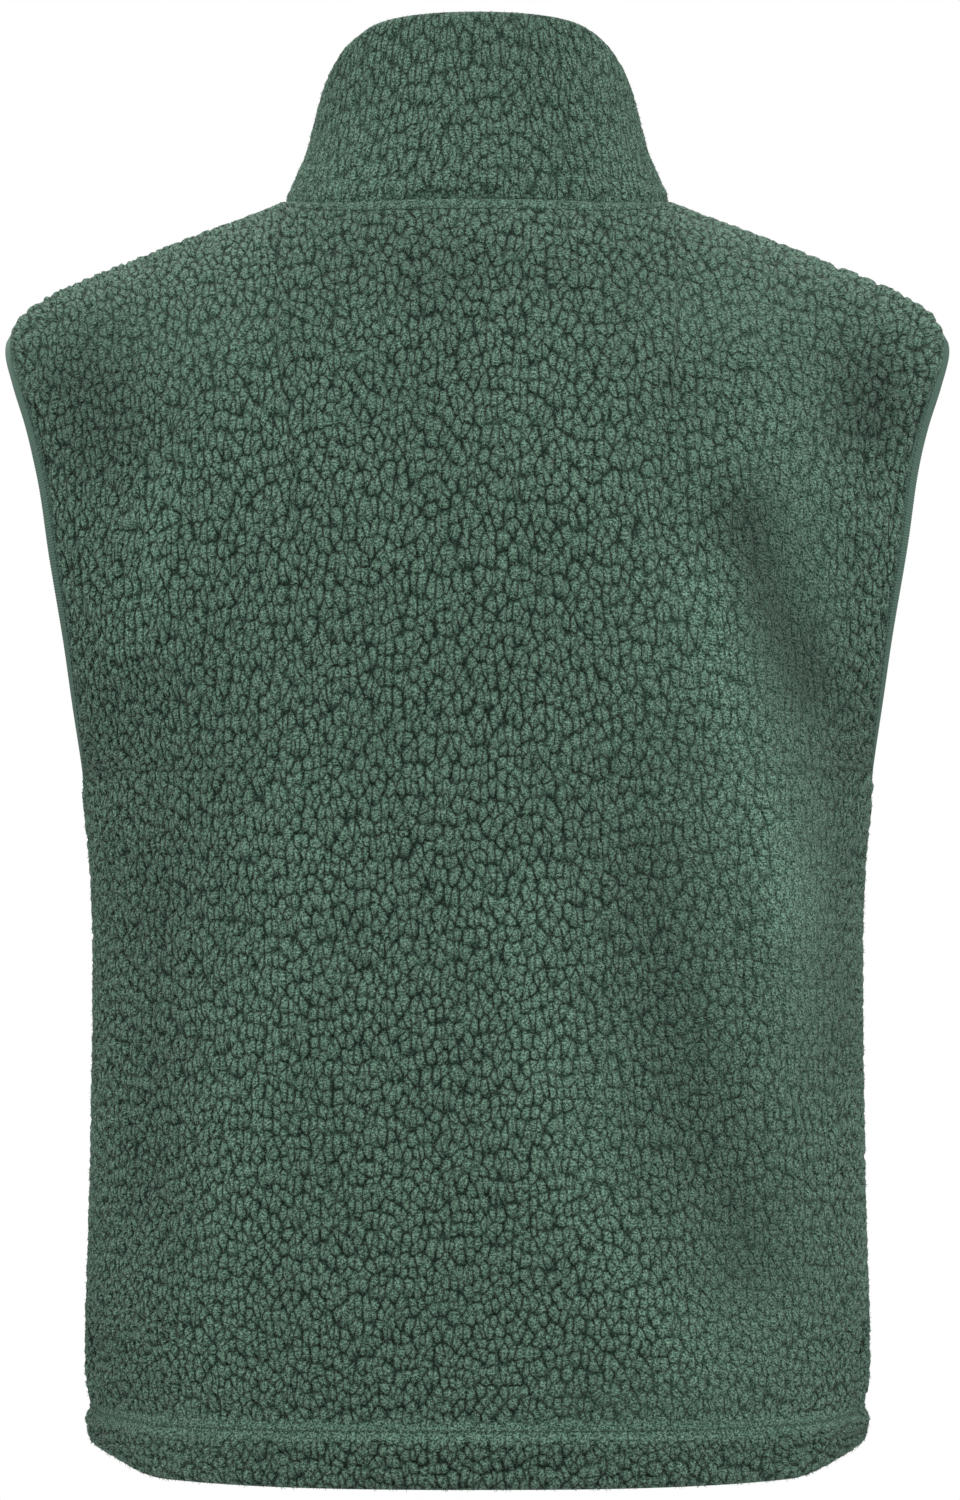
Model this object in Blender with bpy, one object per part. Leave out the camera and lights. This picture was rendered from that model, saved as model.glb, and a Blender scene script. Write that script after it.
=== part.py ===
"""Sherpa fleece vest in its worn shape, seen from behind along -Y.

All tables are in millimetres. +X is the wearer's left, +Y the back, +Z up, and the origin is the
middle of the neck base at shoulder height. Each cloth piece is a wall: a grid of points on the
smooth body surface, moved out and in by the cloth's thickness, and closed along its edges.
"""

import bmesh
import bpy
import numpy as np

MM = 0.001
GAP = 0.3  # between two pieces at a seam
WALL = 6.0  # fleece, with its pile
COLLAR_WALL = 9.0  # two layers, folded at the top
BACK, FRONT = 1, -1

# Heights of the main lines.
HEM = -594.5
UNDERARM = -270.0

# Body outline. Half width: (height, half width over all).
HALF_WIDTH = (
    (-640, 184.5),
    (-577, 185.2),
    (-530, 186.0),
    (-492, 184.6),
    (-416, 183.1),
    (-378, 182.6),
    (-321, 183.6),
    (-283, 187.0),
    (-245, 191.2),
    (-207, 195.2),
    (-169, 201.0),
    (-130, 208.0),
    (-108, 213.2),
    (-88, 219.6),
    (-72, 224.0),
    (-60, 224.8),
    (60, 224.8),
)
# Depth from the shoulder line: (height, back, front).
DEPTH = (
    (-640, 121, 128),
    (-520, 121, 130),
    (-400, 117, 130),
    (-300, 116, 132),
    (-200, 119, 131),
    (-100, 116, 127),
    (60, 114, 126),
)
SECTION_POWER = 2.6
# Shoulder line, carried on over the neck opening: (distance from the middle, back, front).
RIDGE = (
    (-30, 30.6, -1),
    (0, 35, -4.5),
    (30, 30.6, -1),
    (60, 17.6, 4),
    (80, 7.0, 3.4),
    (92.6, 0.6, 0.6),
    (103, -3.8, -3.8),
    (114.5, -8.0, -8.0),
    (135.9, -16.2, -16.2),
    (161, -26, -26),
    (185.7, -35.8, -35.8),
    (206.6, -45.6, -45.6),
    (218, -54, -54),
    (224.8, -64, -64),
    (230, -72, -72),
)
# Height over which the body rounds off to the shoulder line: (distance, back, front).
ROUNDING = (
    (-30, 181, 226),
    (0, 181, 232),
    (30, 181, 226),
    (60, 174, 206),
    (92.6, 166, 182),
    (160, 142, 142),
    (224.8, 104, 104),
    (240, 100, 100),
)
# Armhole: half depth share of the body's depth, how high its lower curve reaches, and how soon
# the curve and the body's width beside it take hold, as a share of that height.
ARMHOLE_SHARE = {BACK: 0.415, FRONT: 0.43}
ARMHOLE_CURVE = 110.0
CURVE_START, WIDTH_START = 0.02, 0.08
# The side seams turn towards the back above the hem: turn in radians, height, spread.
SEAM_TURN, SEAM_TURN_AT, SEAM_TURN_SPREAD = 0.17, -560.0, 34.0

# Neck seam: half width, and depth at the middle back and middle front.
NECK_HALF_WIDTH = 92.6
NECK_DEPTH = {BACK: 70.0, FRONT: 85.0}

# Collar top edge as a ring: half width, half depth, its middle, and (y, height) round it.
TOP_HALF_WIDTH, TOP_HALF_DEPTH, TOP_MIDDLE = 71.0, 57.5, 0.5
TOP_POWER = 2.3
COLLAR_TOP = ((-57, 21), (-30, 36), (0, 51), (8, 58), (22, 66), (33, 73.5), (46, 81), (58, 85))
# How the collar leans from the neck seam to its top: (share of height, share of lean).
COLLAR_LEAN = ((0, 0), (0.1, 0.16), (0.23, 0.32), (0.41, 0.53), (0.59, 0.66), (0.77, 0.79), (1, 1))

# Largest folds of the worn cloth, seen from behind or in front: points (x, height), half width
# of the fold and its rise, below nought for a trough.
FOLDS_BACK = (
    (((-182, -80), (-182, -118)), 26, -4.5),
    (((176, -90), (176, -128)), 26, -4.5),
    (((-140, -92), (-155, -120), (-173, -150)), 13, 3.0),
    (((-132, -158), (-146, -200), (-160, -240)), 17, -4.5),
    (((-110, -200), (-137, -304), (-146, -380)), 22, 4.0),
    (((-70, -285), (-82, -354), (-101, -431), (-124, -500)), 22, -4.5),
    (((-28, -340), (-28, -436), (-64, -490), (-94, -532)), 24, 3.5),
    (((-64, -170), (-64, -215)), 34, -2.5),
    (((150, -230), (152, -340), (148, -460)), 20, -3.5),
    (((116, -84), (130, -137), (158, -212)), 17, 3.0),
    (((80, -290), (85, -372), (112, -454), (127, -525)), 24, 4.0),
    (((-30, -92), (34, -92)), 34, -3.0),
)
FOLDS_FRONT = (
    (((150, -110), (128, -170), (120, -230)), 20, -4.0),
    (((172, -140), (160, -220), (140, -300)), 18, 3.5),
    (((-148, -104), (-132, -160), (-118, -226)), 20, -4.0),
    (((-174, -150), (-156, -232), (-138, -310)), 18, 3.5),
    (((96, -330), (112, -420), (100, -520)), 24, -4.0),
    (((60, -380), (70, -470), (58, -540)), 20, 3.0),
    (((-84, -300), (-106, -400), (-98, -500)), 24, -4.0),
    (((-64, -420), (-58, -500), (-66, -550)), 20, 3.0),
)
# Pinched side seam over the hem: y, height, half width, half height, rise.
PINCH = (24.0, -545.0, 9.0, 22.0, -5.5)

# Hem: (height over the edge, outer rise, share of the wall left).
HEM_ROWS = (
    (0.0, 1.0, 0.30),
    (1.6, 1.2, 0.72),
    (4.5, 1.6, 0.95),
    (12.0, 1.8, 1.0),
    (20.0, 1.4, 1.0),
    (25.0, -1.6, 1.0),
    (28.0, -1.2, 1.0),
    (34.0, -0.9, 1.0),
    (40.0, 0.0, 1.0),
)
# Rows below a shoulder or neck seam: (distance, outer rise).
TOP_ROWS = ((7.5, -0.4), (4.0, -0.9), (GAP / 2, -2.0))
SIDE_ROWS, ARMHOLE_ROWS = 11, 13
# Columns beside a side seam: (distance, outer rise).
SIDE_COLUMNS = ((GAP / 2, -2.0), (5.0, -0.5), (12.0, 0.0))
# Columns beside the zip: (distance, share of the wall left at the outer face).
ZIP_COLUMNS = ((0.0, 0.35), (1.4, 0.75), (4.5, 1.0), (14.0, 1.0))
ZIP_EDGE = 6.0
SHOULDER_COLUMNS = 7
NECK_STEPS = 7
# Bound edge: (distance from the armhole, outer face, inner face).
BOUND = ((10.4, -0.4, -5.8), (9.0, -2.2, -4.6), (4.4, -2.2, -4.6), (GAP / 2, -2.2, -4.6))
BINDING_WIDTH, BINDING_WALL = 7.9, 0.8

# Collar rows: share of height, and distances below the top with the share of the wall left.
COLLAR_SHARES = (0.1, 0.23, 0.41, 0.59, 0.77)
COLLAR_TOP_ROWS = ((7.0, 0.95), (3.2, 0.74), (1.0, 0.42), (0.0, 0.16))

# Zip, in depth from the cloth's outer face.
TAPE = (3.3, 10.0, 17.0)
TAPE_DEPTH = (-6.3, -7.1)
TAPE_BELOW_TOP, CHAIN_BELOW_TOP = 2.5, 7.8
ZIP_LOW_ROWS, ZIP_COLLAR_STEPS = (3.0, 12.0, 25.0, 40.0), 10
TEETH_HALF_WIDTH, TEETH_DEPTH, TEETH_BEVEL = 3.0, (-5.2, -7.6), 0.5
BOX_X, BOX_DEPTH = (-5.2, -2.9, 2.9, 5.2), (-8.6, -7.5, -5.9, -4.4)
# Slider and its pull, as the edges of blocks across, along the zip and outward.
SLIDER_BELOW_TOP = 12.0
SLIDER_X = (-4.8, -1.6, -1.0, 1.0, 1.6, 4.8)
SLIDER_UP = (-6.0, -1.2, 0.2, 4.6, 6.0, 6.6)
SLIDER_OUT = (-9.0, -7.9, -4.9, -3.8, -1.0, 0.0)
PIVOT = (2.4, -2.3)  # along the zip and outward, from the slider's middle
PULL_X, PULL_UP, PULL_OUT = (-2.7, -1.5, 1.5, 2.7), (-24.0, -21.5, -5.0, -0.7, 0.7), (-0.6, 0.6)

FLEECE, KNIT = (0.070, 0.122, 0.090), (0.030, 0.060, 0.042)
TAPE_COLOUR, TEETH_COLOUR, METAL = (0.028, 0.052, 0.038), (0.035, 0.060, 0.046), (0.05, 0.08, 0.06)


def table(rows, at, column=1):
    """Smooth curve through a table's column."""
    x = np.array([row[0] for row in rows], float)
    y = np.array([row[column] for row in rows], float)
    slope = np.gradient(y, x)
    at = np.clip(at, x[0], x[-1])
    i = np.clip(np.searchsorted(x, at) - 1, 0, len(x) - 2)
    width = x[i + 1] - x[i]
    t = (at - x[i]) / width
    rise = (3 - 2 * t) * t * t
    return (
        y[i] * (1 - rise)
        + y[i + 1] * rise
        + width * (slope[i] * t * (1 - t) ** 2 - slope[i + 1] * t * t * (1 - t))
    )


def soft(t):
    t = np.clip(t, 0, 1)
    return t * t * (3 - 2 * t)


def unit(v):
    return v / np.maximum(np.linalg.norm(v, axis=-1, keepdims=True), 1e-12)


# --- the smooth body surface -----------------------------------------------------------------


def armhole_cut(face, z, start):
    """Width share at which the armhole cuts the body's section, 1 at the underarm and below."""
    v = np.clip((z - UNDERARM) / ARMHOLE_CURVE, 0, 1)
    v = (1 + start) * v * v / (v + start)
    share = ARMHOLE_SHARE[face] ** 2 * np.clip(2 * v - v * v, 0, 1)
    return (1 - share) ** (1 / SECTION_POWER)


def section_edge(face, z):
    """Full half width of the section, and its angle at the piece's side edge."""
    turn = SEAM_TURN * np.exp(-(((z - SEAM_TURN_AT) / SEAM_TURN_SPREAD) ** 2))
    angle = np.arcsin(armhole_cut(face, z, CURVE_START)) - face * turn
    return table(HALF_WIDTH, z) / armhole_cut(face, z, WIDTH_START), angle


def neck(face, x):
    """Depth and height of the top edge, and the angle at which the surface ends there."""
    column = 1 if face == BACK else 2
    x = np.abs(x)
    half = section_edge(face, 0.0)[0]
    side = np.sqrt(np.clip(1 - (x / half) ** SECTION_POWER, 0.01, 1))
    y = NECK_DEPTH[face] * np.sqrt(np.clip(1 - (x / NECK_HALF_WIDTH) ** 2, 0, 1))
    start = np.arcsin(np.clip(y / (table(DEPTH, 0.0, column) * side), 0, 0.95))
    ridge = np.where(x < NECK_HALF_WIDTH - 0.01, table(RIDGE, x, column), table(RIDGE, x))
    return y, ridge - table(ROUNDING, x, column) * (1 - np.cos(start)), start


def body(face, across, up):
    """Smooth outer surface, left half: across 0 middle to 1 side edge, up 0 hem, 1, 2 top."""
    column = 1 if face == BACK else 2
    half, angle = section_edge(face, 0.0)
    x_top = np.abs(half * np.sin(across * angle))
    radius = table(ROUNDING, x_top, column)
    _, z_top, start = neck(face, x_top)
    bend = np.pi / 2 - start
    rise = np.sin(bend * np.clip(up - 1, 0, 1)) / np.sin(bend)
    z = HEM + (UNDERARM - HEM) * np.minimum(up, 1) + (z_top - UNDERARM) * rise
    half, angle = section_edge(face, z)
    psi = across * angle
    x = half * np.sin(psi)
    depth = np.where(
        (np.cos(psi) > 0) == (face == BACK), table(DEPTH, z, 1), table(DEPTH, z, 2)
    )
    below = z_top + radius * (1 - np.cos(start)) - z
    u = np.clip(below / radius, 0, 1)
    over = np.sqrt(np.clip(1 - (1 - u) ** 2, 0, 1))
    share = np.sqrt(np.clip(1 - np.abs(np.sin(psi)) ** SECTION_POWER, 0, 1))
    y = face * np.sign(np.cos(psi)) * depth * share * over
    return np.stack(np.broadcast_arrays(x, y, z), -1)


def normals(surface, across, up):
    step = 1e-4
    here = surface(across, up)
    low, high = surface(across, np.maximum(up - step, 0)), surface(across, np.minimum(up + step, 2))
    n = unit(np.cross(surface(across + step, up) - here, high - low))
    out = ((here - np.array([0, 0, -300.0])) * n).sum(-1, keepdims=True)
    return n * np.where(out < 0, -1, 1)


def fold_rise(points, folds):
    """Rise of the soft folds at these points, each fading out at its ends."""
    rise = np.zeros(points.shape[:-1])
    flat = points[..., [0, 2]]
    for path, width, height in folds:
        path = np.array(path, float)
        nearest = np.full(rise.shape, 1e9)
        for a, b in zip(path[:-1], path[1:]):
            t = np.clip(((flat - a) @ (b - a)) / ((b - a) @ (b - a)), 0, 1)
            away = np.linalg.norm(flat - a - t[..., None] * (b - a), axis=-1)
            nearest = np.minimum(nearest, away)
        rise += height * np.exp(-((nearest / width) ** 2))
    return rise


def cloth(face, side):
    """The body surface with its folds, for one side (+1 the wearer's left, -1 the right)."""
    mirror = np.array([side, 1, 1])

    def smooth(across, up):
        return body(face, across, up) * mirror

    def folded(across, up):
        p = smooth(across, up)
        n = normals(smooth, across, up)
        back = soft((p[..., 1] + 25) / 50)
        rise = back * fold_rise(p, FOLDS_BACK) + (1 - back) * fold_rise(p, FOLDS_FRONT)
        y, z, wide, tall, pinch = PINCH
        at_side = soft((np.abs(p[..., 0]) - 120) / 40)
        rise += at_side * pinch * np.exp(
            -(((p[..., 1] - y) / wide) ** 2) - ((p[..., 2] - z) / tall) ** 2
        )
        if face == FRONT:
            rise *= soft((-p[..., 2] - 20) / 40) * soft((np.abs(p[..., 0]) - 22) / 25)
        else:
            rise *= soft((-p[..., 2] - 10) / 40)
        return p + n * rise[..., None]

    return folded


# --- grids -----------------------------------------------------------------------------------


def along(points):
    steps = np.linalg.norm(np.diff(points, axis=0), axis=1)
    return np.concatenate([[0], np.cumsum(steps)])


def up_rows(face, across):
    """Heights (0 to 2) of every row at one place across, hem to top."""
    dense = np.linspace(0, 2, 801)
    length = along(body(face, np.full(801, across), dense))
    under = np.interp(1.0, dense, length)
    low = [row[0] for row in HEM_ROWS]
    top = [length[-1] - row[0] for row in TOP_ROWS]
    targets = (
        low
        + list(np.linspace(low[-1], under - 11, SIDE_ROWS + 1)[1:])
        + list(under + (top[0] - under) * np.linspace(0, 1, ARMHOLE_ROWS + 1)[1:] ** 1.25)
        + top[1:]
    )
    return np.interp(targets, length, dense)


CORNER = len(HEM_ROWS) + SIDE_ROWS - 1  # row that meets the armhole's band at the side seam
ROWS = CORNER + ARMHOLE_ROWS + len(TOP_ROWS)


def edge_chart(face, distances):
    """Chart places at these distances in from the armhole's edge, for rows CORNER and up."""
    ups = up_rows(face, 1.0)[CORNER:]
    ups[0] = 1.0
    step = 1e-3
    ones = np.ones_like(ups)

    def surface(a, u):
        return body(face, a, u)

    p = surface(ones, ups)
    tangent = unit(surface(ones, np.minimum(ups + step, 2)) - surface(ones, ups - step))
    tangent[0] = (0, face, 0)
    normal = normals(surface, ones * 0.9999, ups)
    inward = face * unit(np.cross(tangent, normal))
    inward[0] = (0, 0, -1)
    inward[-1] = unit((surface(ones, ups) - surface(ones * 0.98, ups)))[-1] * -1
    da = (surface(ones, ups) - surface(ones - step, ups)) / step
    du = (surface(ones * 0.999, np.minimum(ups + step, 2)) - surface(ones * 0.999, ups - step))
    du /= (np.minimum(ups + step, 2) - ups + step)[:, None]
    places = []
    for distance in distances:
        want = inward * distance
        g = np.stack([(da * da).sum(-1), (da * du).sum(-1), (du * du).sum(-1)], -1)
        r = np.stack([(da * want).sum(-1), (du * want).sum(-1)], -1)
        det = np.maximum(g[:, 0] * g[:, 2] - g[:, 1] ** 2, 1e-9)
        across = 1 + (r[:, 0] * g[:, 2] - r[:, 1] * g[:, 1]) / det
        up = ups + (r[:, 1] * g[:, 0] - r[:, 0] * g[:, 1]) / det
        across[0], up[0] = 1.0, 1 - distance / (UNDERARM - HEM)
        up[-1] = ups[-1]
        places.append(np.stack([across, up], -1))
    return places


def neck_angles(first):
    return np.linspace(np.pi / 2, np.arcsin(first / NECK_HALF_WIDTH), NECK_STEPS + 1)[1:]


def top_columns(face, start_x, x, length):
    """Where the columns end along the top edge, by length from the middle."""
    tip = np.interp(NECK_HALF_WIDTH, x, length)
    near = [length[-1] - distance for distance, _ in SIDE_COLUMNS[1:]]
    shoulder = np.linspace(tip, near[-1], SHOULDER_COLUMNS + 1)[1:]
    ring = list(np.interp(NECK_HALF_WIDTH * np.sin(neck_angles(start_x)), x, length))
    if face == FRONT:
        ring = ring[:-2] + [distance for distance, _ in ZIP_COLUMNS[::-1]]
    return np.array(sorted([*ring, tip, *shoulder, near[0], length[-1]]))


def panel_chart(face):
    """Chart places of the panel's main grid, rows by columns from the middle to the side."""
    line = edge_chart(face, [BOUND[0][0]])[0]
    edge_up = up_rows(face, 1.0)
    edge = np.stack([np.ones(ROWS), edge_up], -1)
    edge[CORNER:] = line
    edge[:CORNER, 0] = 1.0
    tau = np.linspace(0, 1, 241)
    start_x = ZIP_EDGE if face == FRONT else 0.0
    charts = []
    sides = np.linspace(0, 1, 41)
    ups_by_side = np.array([up_rows(face, s) for s in sides])
    top_targets = None
    for row in range(ROWS - 1, -1, -1):
        own_half, own_angle = section_edge(face, body(face, 0.05, ups_by_side[2, row])[..., 2])
        first = np.arcsin(start_x / own_half) / own_angle
        across = first + tau * (edge[row, 0] - first)
        own = np.interp(across, sides, ups_by_side[:, row])
        up = own + (edge[row, 1] - np.interp(edge[row, 0], sides, ups_by_side[:, row])) * tau**3
        points = body(face, across, up)
        length = along(points)
        if top_targets is None:
            top_targets = top_columns(face, start_x, points[:, 0], length)
            top_length = length[-1]
        far = top_length - SIDE_COLUMNS[-1][0]
        low = ZIP_COLUMNS[-1][0] if face == FRONT else 0.0
        scale = (length[-1] - SIDE_COLUMNS[-1][0] - low) / (far - low)
        targets = np.where(
            top_targets > far + 1e-6,
            length[-1] - (top_length - top_targets),
            np.where(top_targets < low, top_targets, low + (top_targets - low) * scale),
        )
        if row < CORNER:
            targets[-1] = length[-1] - SIDE_COLUMNS[0][0]
        at = np.interp(targets, length, tau)
        charts.append(np.stack([np.interp(at, tau, across), np.interp(at, tau, up)], -1))
    charts = np.array(charts[::-1])
    charts[CORNER, -1, 0] = charts[CORNER - 1, -1, 0]
    return charts


def panel_offsets(face, shape):
    """Outer rise and inner depth of every place of the main grid."""
    rows, columns = shape
    outer = np.zeros(shape)
    share = np.ones(shape)
    for row, (_, rise, left) in enumerate(HEM_ROWS):
        outer[row] += rise
        share[row] = left
    for k, (_, rise) in enumerate(TOP_ROWS):
        outer[rows - len(TOP_ROWS) + k, : columns - 1] += rise
    for k, (_, rise) in enumerate(SIDE_COLUMNS):
        outer[:CORNER, columns - 1 - k] += rise
    inner = np.full(shape, -WALL)
    middle = (outer + inner) / 2
    thick = (outer - inner) * share
    outer, inner = middle + thick / 2, middle - thick / 2
    if face == FRONT:
        for column, (_, left) in enumerate(ZIP_COLUMNS):
            outer[:, column] -= (1 - left) * 0.6 * WALL * np.minimum(1, share[:, column] * 1.4)
    outer[CORNER:, columns - 1] = BOUND[0][1]
    inner[CORNER:, columns - 1] = BOUND[0][2]
    outer[-len(TOP_ROWS):, columns - 1] -= (0.3, 0.6, 1.2)
    return outer, inner


class Shell:
    """Points of a wall's two faces, and the triangles that join them on each face."""

    def __init__(self):
        self.outer, self.inner, self.cells = [], [], []

    def add(self, outer, inner):
        first = len(self.outer)
        shape = outer.shape[:-1]
        self.outer += list(outer.reshape(-1, 3))
        self.inner += list(inner.reshape(-1, 3))
        return np.arange(first, len(self.outer)).reshape(shape)

    def fill(self, ids, flip=False):
        """Two triangles a cell, all cut the same way, so that a piece laid on them matches."""
        for i in range(ids.shape[0] - 1):
            for j in range(ids.shape[1] - 1):
                a, b, c, d = ids[i, j], ids[i, j + 1], ids[i + 1, j + 1], ids[i + 1, j]
                self.cells += [(c, b, a), (d, c, a)] if flip else [(a, b, c), (a, c, d)]

    def build(self, name, material):
        count = len(self.outer)
        edges = set()
        for cell in self.cells:
            edges.update(zip(cell, cell[1:] + cell[:1]))
        faces = self.cells + [tuple(i + count for i in cell[::-1]) for cell in self.cells]
        rank = np.array(self.outer)
        rank = np.abs(rank[:, 0]) + 0.61 * rank[:, 2]
        for a, b in edges:
            if (b, a) in edges:
                continue
            if rank[a] < rank[b]:
                faces += [(b, a, a + count), (b, a + count, b + count)]
            else:
                faces += [(b, a, b + count), (a, a + count, b + count)]
        return solid(name, self.outer + self.inner, faces, material)


def solid(name, points, faces, material, smooth=True):
    mesh = bpy.data.meshes.new(name)
    faces = [tuple(map(int, face)) for face in faces]
    mesh.from_pydata([tuple(p) for p in np.array(points) * MM], [], faces)
    tidy = bmesh.new()
    tidy.from_mesh(mesh)
    bmesh.ops.recalc_face_normals(tidy, faces=tidy.faces)
    for edge in tidy.edges:
        if edge.is_manifold and edge.calc_face_angle(0) > 0.9:
            edge.smooth = False
    tidy.to_mesh(mesh)
    tidy.free()
    mesh.polygons.foreach_set("use_smooth", [smooth] * len(mesh.polygons))
    mesh.materials.append(material)
    obj = bpy.data.objects.new(name, mesh)
    bpy.context.scene.collection.objects.link(obj)
    return obj


def material(name, colour, roughness, metallic=0.0):
    made = bpy.data.materials.new(name)
    made.use_nodes = True
    shader = made.node_tree.nodes["Principled BSDF"]
    shader.inputs["Base Color"].default_value = (*colour, 1)
    shader.inputs["Roughness"].default_value = roughness
    shader.inputs["Metallic"].default_value = metallic
    return made


def put(surface, chart, offset):
    p = surface(chart[..., 0], chart[..., 1])
    return p + normals(surface, chart[..., 0], chart[..., 1]) * np.asarray(offset)[..., None]


def half_panel(shell, face, side, centre=None):
    """Adds one half of a panel to the shell; gives its neck edge and armhole edge."""
    surface = cloth(face, side)
    chart = panel_chart(face)
    outer, inner = panel_offsets(face, chart.shape[:2])
    out, inn = put(surface, chart, outer), put(surface, chart, inner)
    if centre is None:
        ids = shell.add(out, inn)
    else:
        ids = np.concatenate([centre[:, None], shell.add(out[:, 1:], inn[:, 1:])], axis=1)
    shell.fill(ids, flip=side < 0)
    band = edge_chart(face, [row[0] for row in BOUND[1:]])
    strip = [ids[CORNER:, -1]]
    for places, (distance, rise, depth) in zip(band, BOUND[1:]):
        places[0, 0] = chart[CORNER - 1, -1, 0]
        strip.append(
            shell.add(
                put(surface, places, np.full(len(places), rise)),
                put(surface, places, np.full(len(places), depth)),
            )
        )
    strip = np.stack(strip, axis=1)
    shell.fill(strip, flip=side < 0)
    return ids, chart


def neck_columns(chart, face):
    x = body(face, chart[-1, :, 0], chart[-1, :, 1])[:, 0]
    return int(np.argmin(np.abs(x - NECK_HALF_WIDTH)))


# --- collar ----------------------------------------------------------------------------------


def neck_place(theta):
    """Neck seam at an angle from the middle back, left half."""
    x = NECK_HALF_WIDTH * np.sin(theta)
    back_y, back_z, _ = neck(BACK, x)
    front_y, front_z, _ = neck(FRONT, x)
    is_back = np.cos(theta) > 0
    return np.stack([x, np.where(is_back, back_y, -front_y), np.where(is_back, back_z, front_z)], -1)


def collar_surface(theta, q):
    """Collar's outer face, left half: theta from the middle back, q from the seam to the top."""
    base = neck_place(theta)
    x, is_back = base[..., 0], np.cos(theta) > 0
    narrow = 1 - TOP_HALF_WIDTH / NECK_HALF_WIDTH
    keep = np.where(is_back, 1, soft((x - 8) / 60))
    top_x = x * (1 - narrow * keep)
    share = 1 - (np.abs(top_x) / TOP_HALF_WIDTH) ** TOP_POWER
    share = np.clip(share, 0, 1) ** (1 / TOP_POWER)
    top_y = TOP_MIDDLE + np.where(is_back, 1, -1) * TOP_HALF_DEPTH * share
    top_z = table(COLLAR_TOP, top_y)
    lean = table(COLLAR_LEAN, q)
    return np.stack(
        np.broadcast_arrays(
            x + (top_x - x) * lean,
            base[..., 1] + (top_y - base[..., 1]) * lean,
            base[..., 2] + (top_z - base[..., 2]) * q,
        ),
        -1,
    )


def collar_normal(theta, q):
    step = 1e-3
    a = collar_surface(theta + step, q) - collar_surface(theta - step, q)
    b = collar_surface(theta, np.minimum(q + step, 1)) - collar_surface(theta, q - step)
    n = unit(np.cross(a, b))
    p = collar_surface(theta, q) - np.array([0, -5, 0.0])
    out = (p[..., :2] * n[..., :2]).sum(-1, keepdims=True)
    return n * np.where(out < 0, -1, 1)


def theta_of(x, is_back):
    theta = np.arcsin(np.clip(np.abs(x) / NECK_HALF_WIDTH, 0, 1))
    return theta if is_back else np.pi - theta


def collar(seams, made):
    """seams: neck points from the left front edge round the back: theta, side, outer, inner, up."""
    shell = Shell()
    outer_rows, inner_rows = [], []
    for theta, side, low_out, low_in, lift in seams:
        mirror = np.array([side, 1, 1])
        height = np.linalg.norm(collar_surface(theta, 1.0) - collar_surface(theta, 0.0))
        near_zip = NECK_HALF_WIDTH * np.sin(theta) if theta > np.pi / 2 else 99.0
        thin = soft((near_zip - ZIP_EDGE - 14) / 16)
        wall = WALL + (COLLAR_WALL - WALL) * thin
        edge = np.interp(near_zip - ZIP_EDGE, *zip(*ZIP_COLUMNS))
        rows = [(share, 1.0) for share in COLLAR_SHARES]
        rows += [(1 - down / height, left) for down, left in COLLAR_TOP_ROWS]
        outs, inns = [low_out + lift * GAP], [low_in + lift * GAP]
        top = -(1 - edge) * 0.6 * WALL
        for q, left in rows:
            p, n = collar_surface(theta, q), collar_normal(theta, q)
            middle, half = (top - wall) / 2, (top + wall) / 2 * left
            outs.append((p + n * (middle + half)) * mirror)
            inns.append((p + n * (middle - half)) * mirror)
        outer_rows.append(outs)
        inner_rows.append(inns)
    ids = shell.add(np.array(outer_rows), np.array(inner_rows))
    shell.fill(ids)
    return shell.build("collar", made)


# --- binding, zip ----------------------------------------------------------------------------


def binding(name, side, made):
    """Stretch binding folded over an armhole edge, as one loop."""
    loops = []
    top, low = BOUND[3][1] + GAP, BOUND[3][2] - GAP
    for face in (BACK, FRONT):
        surface = cloth(face, side)
        places = edge_chart(face, [BINDING_WIDTH, BOUND[2][0], 0.0])
        wide, middle, edge = (part if face == BACK else part[::-1] for part in places)

        def face_at(chart, rise):
            return put(surface, chart, np.full(len(chart), rise))

        centre = face_at(edge, (top + low) / 2)
        beyond = unit(centre - face_at(middle, (top + low) / 2))
        top_face, low_face = face_at(edge, top + BINDING_WALL), face_at(edge, low - BINDING_WALL)
        section = [
            (BINDING_WIDTH, face_at(wide, top + BINDING_WALL)),
            (4.4, face_at(middle, top + BINDING_WALL)),
            (0, top_face + beyond * 0.3),
            (-1, centre + (top_face - centre) * 0.7 + beyond * 0.95),
            (-2, centre + beyond * 1.3),
            (-1, centre + (low_face - centre) * 0.7 + beyond * 0.95),
            (0, low_face + beyond * 0.3),
            (4.4, face_at(middle, low - BINDING_WALL)),
            (BINDING_WIDTH, face_at(wide, low - BINDING_WALL)),
            (BINDING_WIDTH, face_at(wide, low)),
            (4.4, face_at(middle, low)),
            (0, face_at(edge, low) + beyond * 0.35),
            (0, face_at(edge, top) + beyond * 0.35),
            (4.4, face_at(middle, top)),
            (BINDING_WIDTH, face_at(wide, top)),
        ]
        loops.append(np.stack([points for _, points in section], axis=1))
        depth = [distance for distance, _ in section]
    back, front = loops
    tip, under = (back[-1] + front[0]) / 2, (back[0] + front[-1]) / 2
    ring = np.concatenate([under[None], back[1:-1], tip[None], front[1:-1]])
    count, around = ring.shape[:2]
    faces = []
    for i in range(count):
        on_back = i < len(back) - 1
        for j in range(around):
            k = (j + 1) % around
            a, b = i * around, (i + 1) % count * around
            if (depth[j] >= depth[k]) == on_back:
                faces += [(a + j, a + k, b + k), (a + j, b + k, b + j)]
            else:
                faces += [(a + j, a + k, b + j), (a + k, b + k, b + j)]
    return solid(name, ring.reshape(-1, 3), faces, made)


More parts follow.
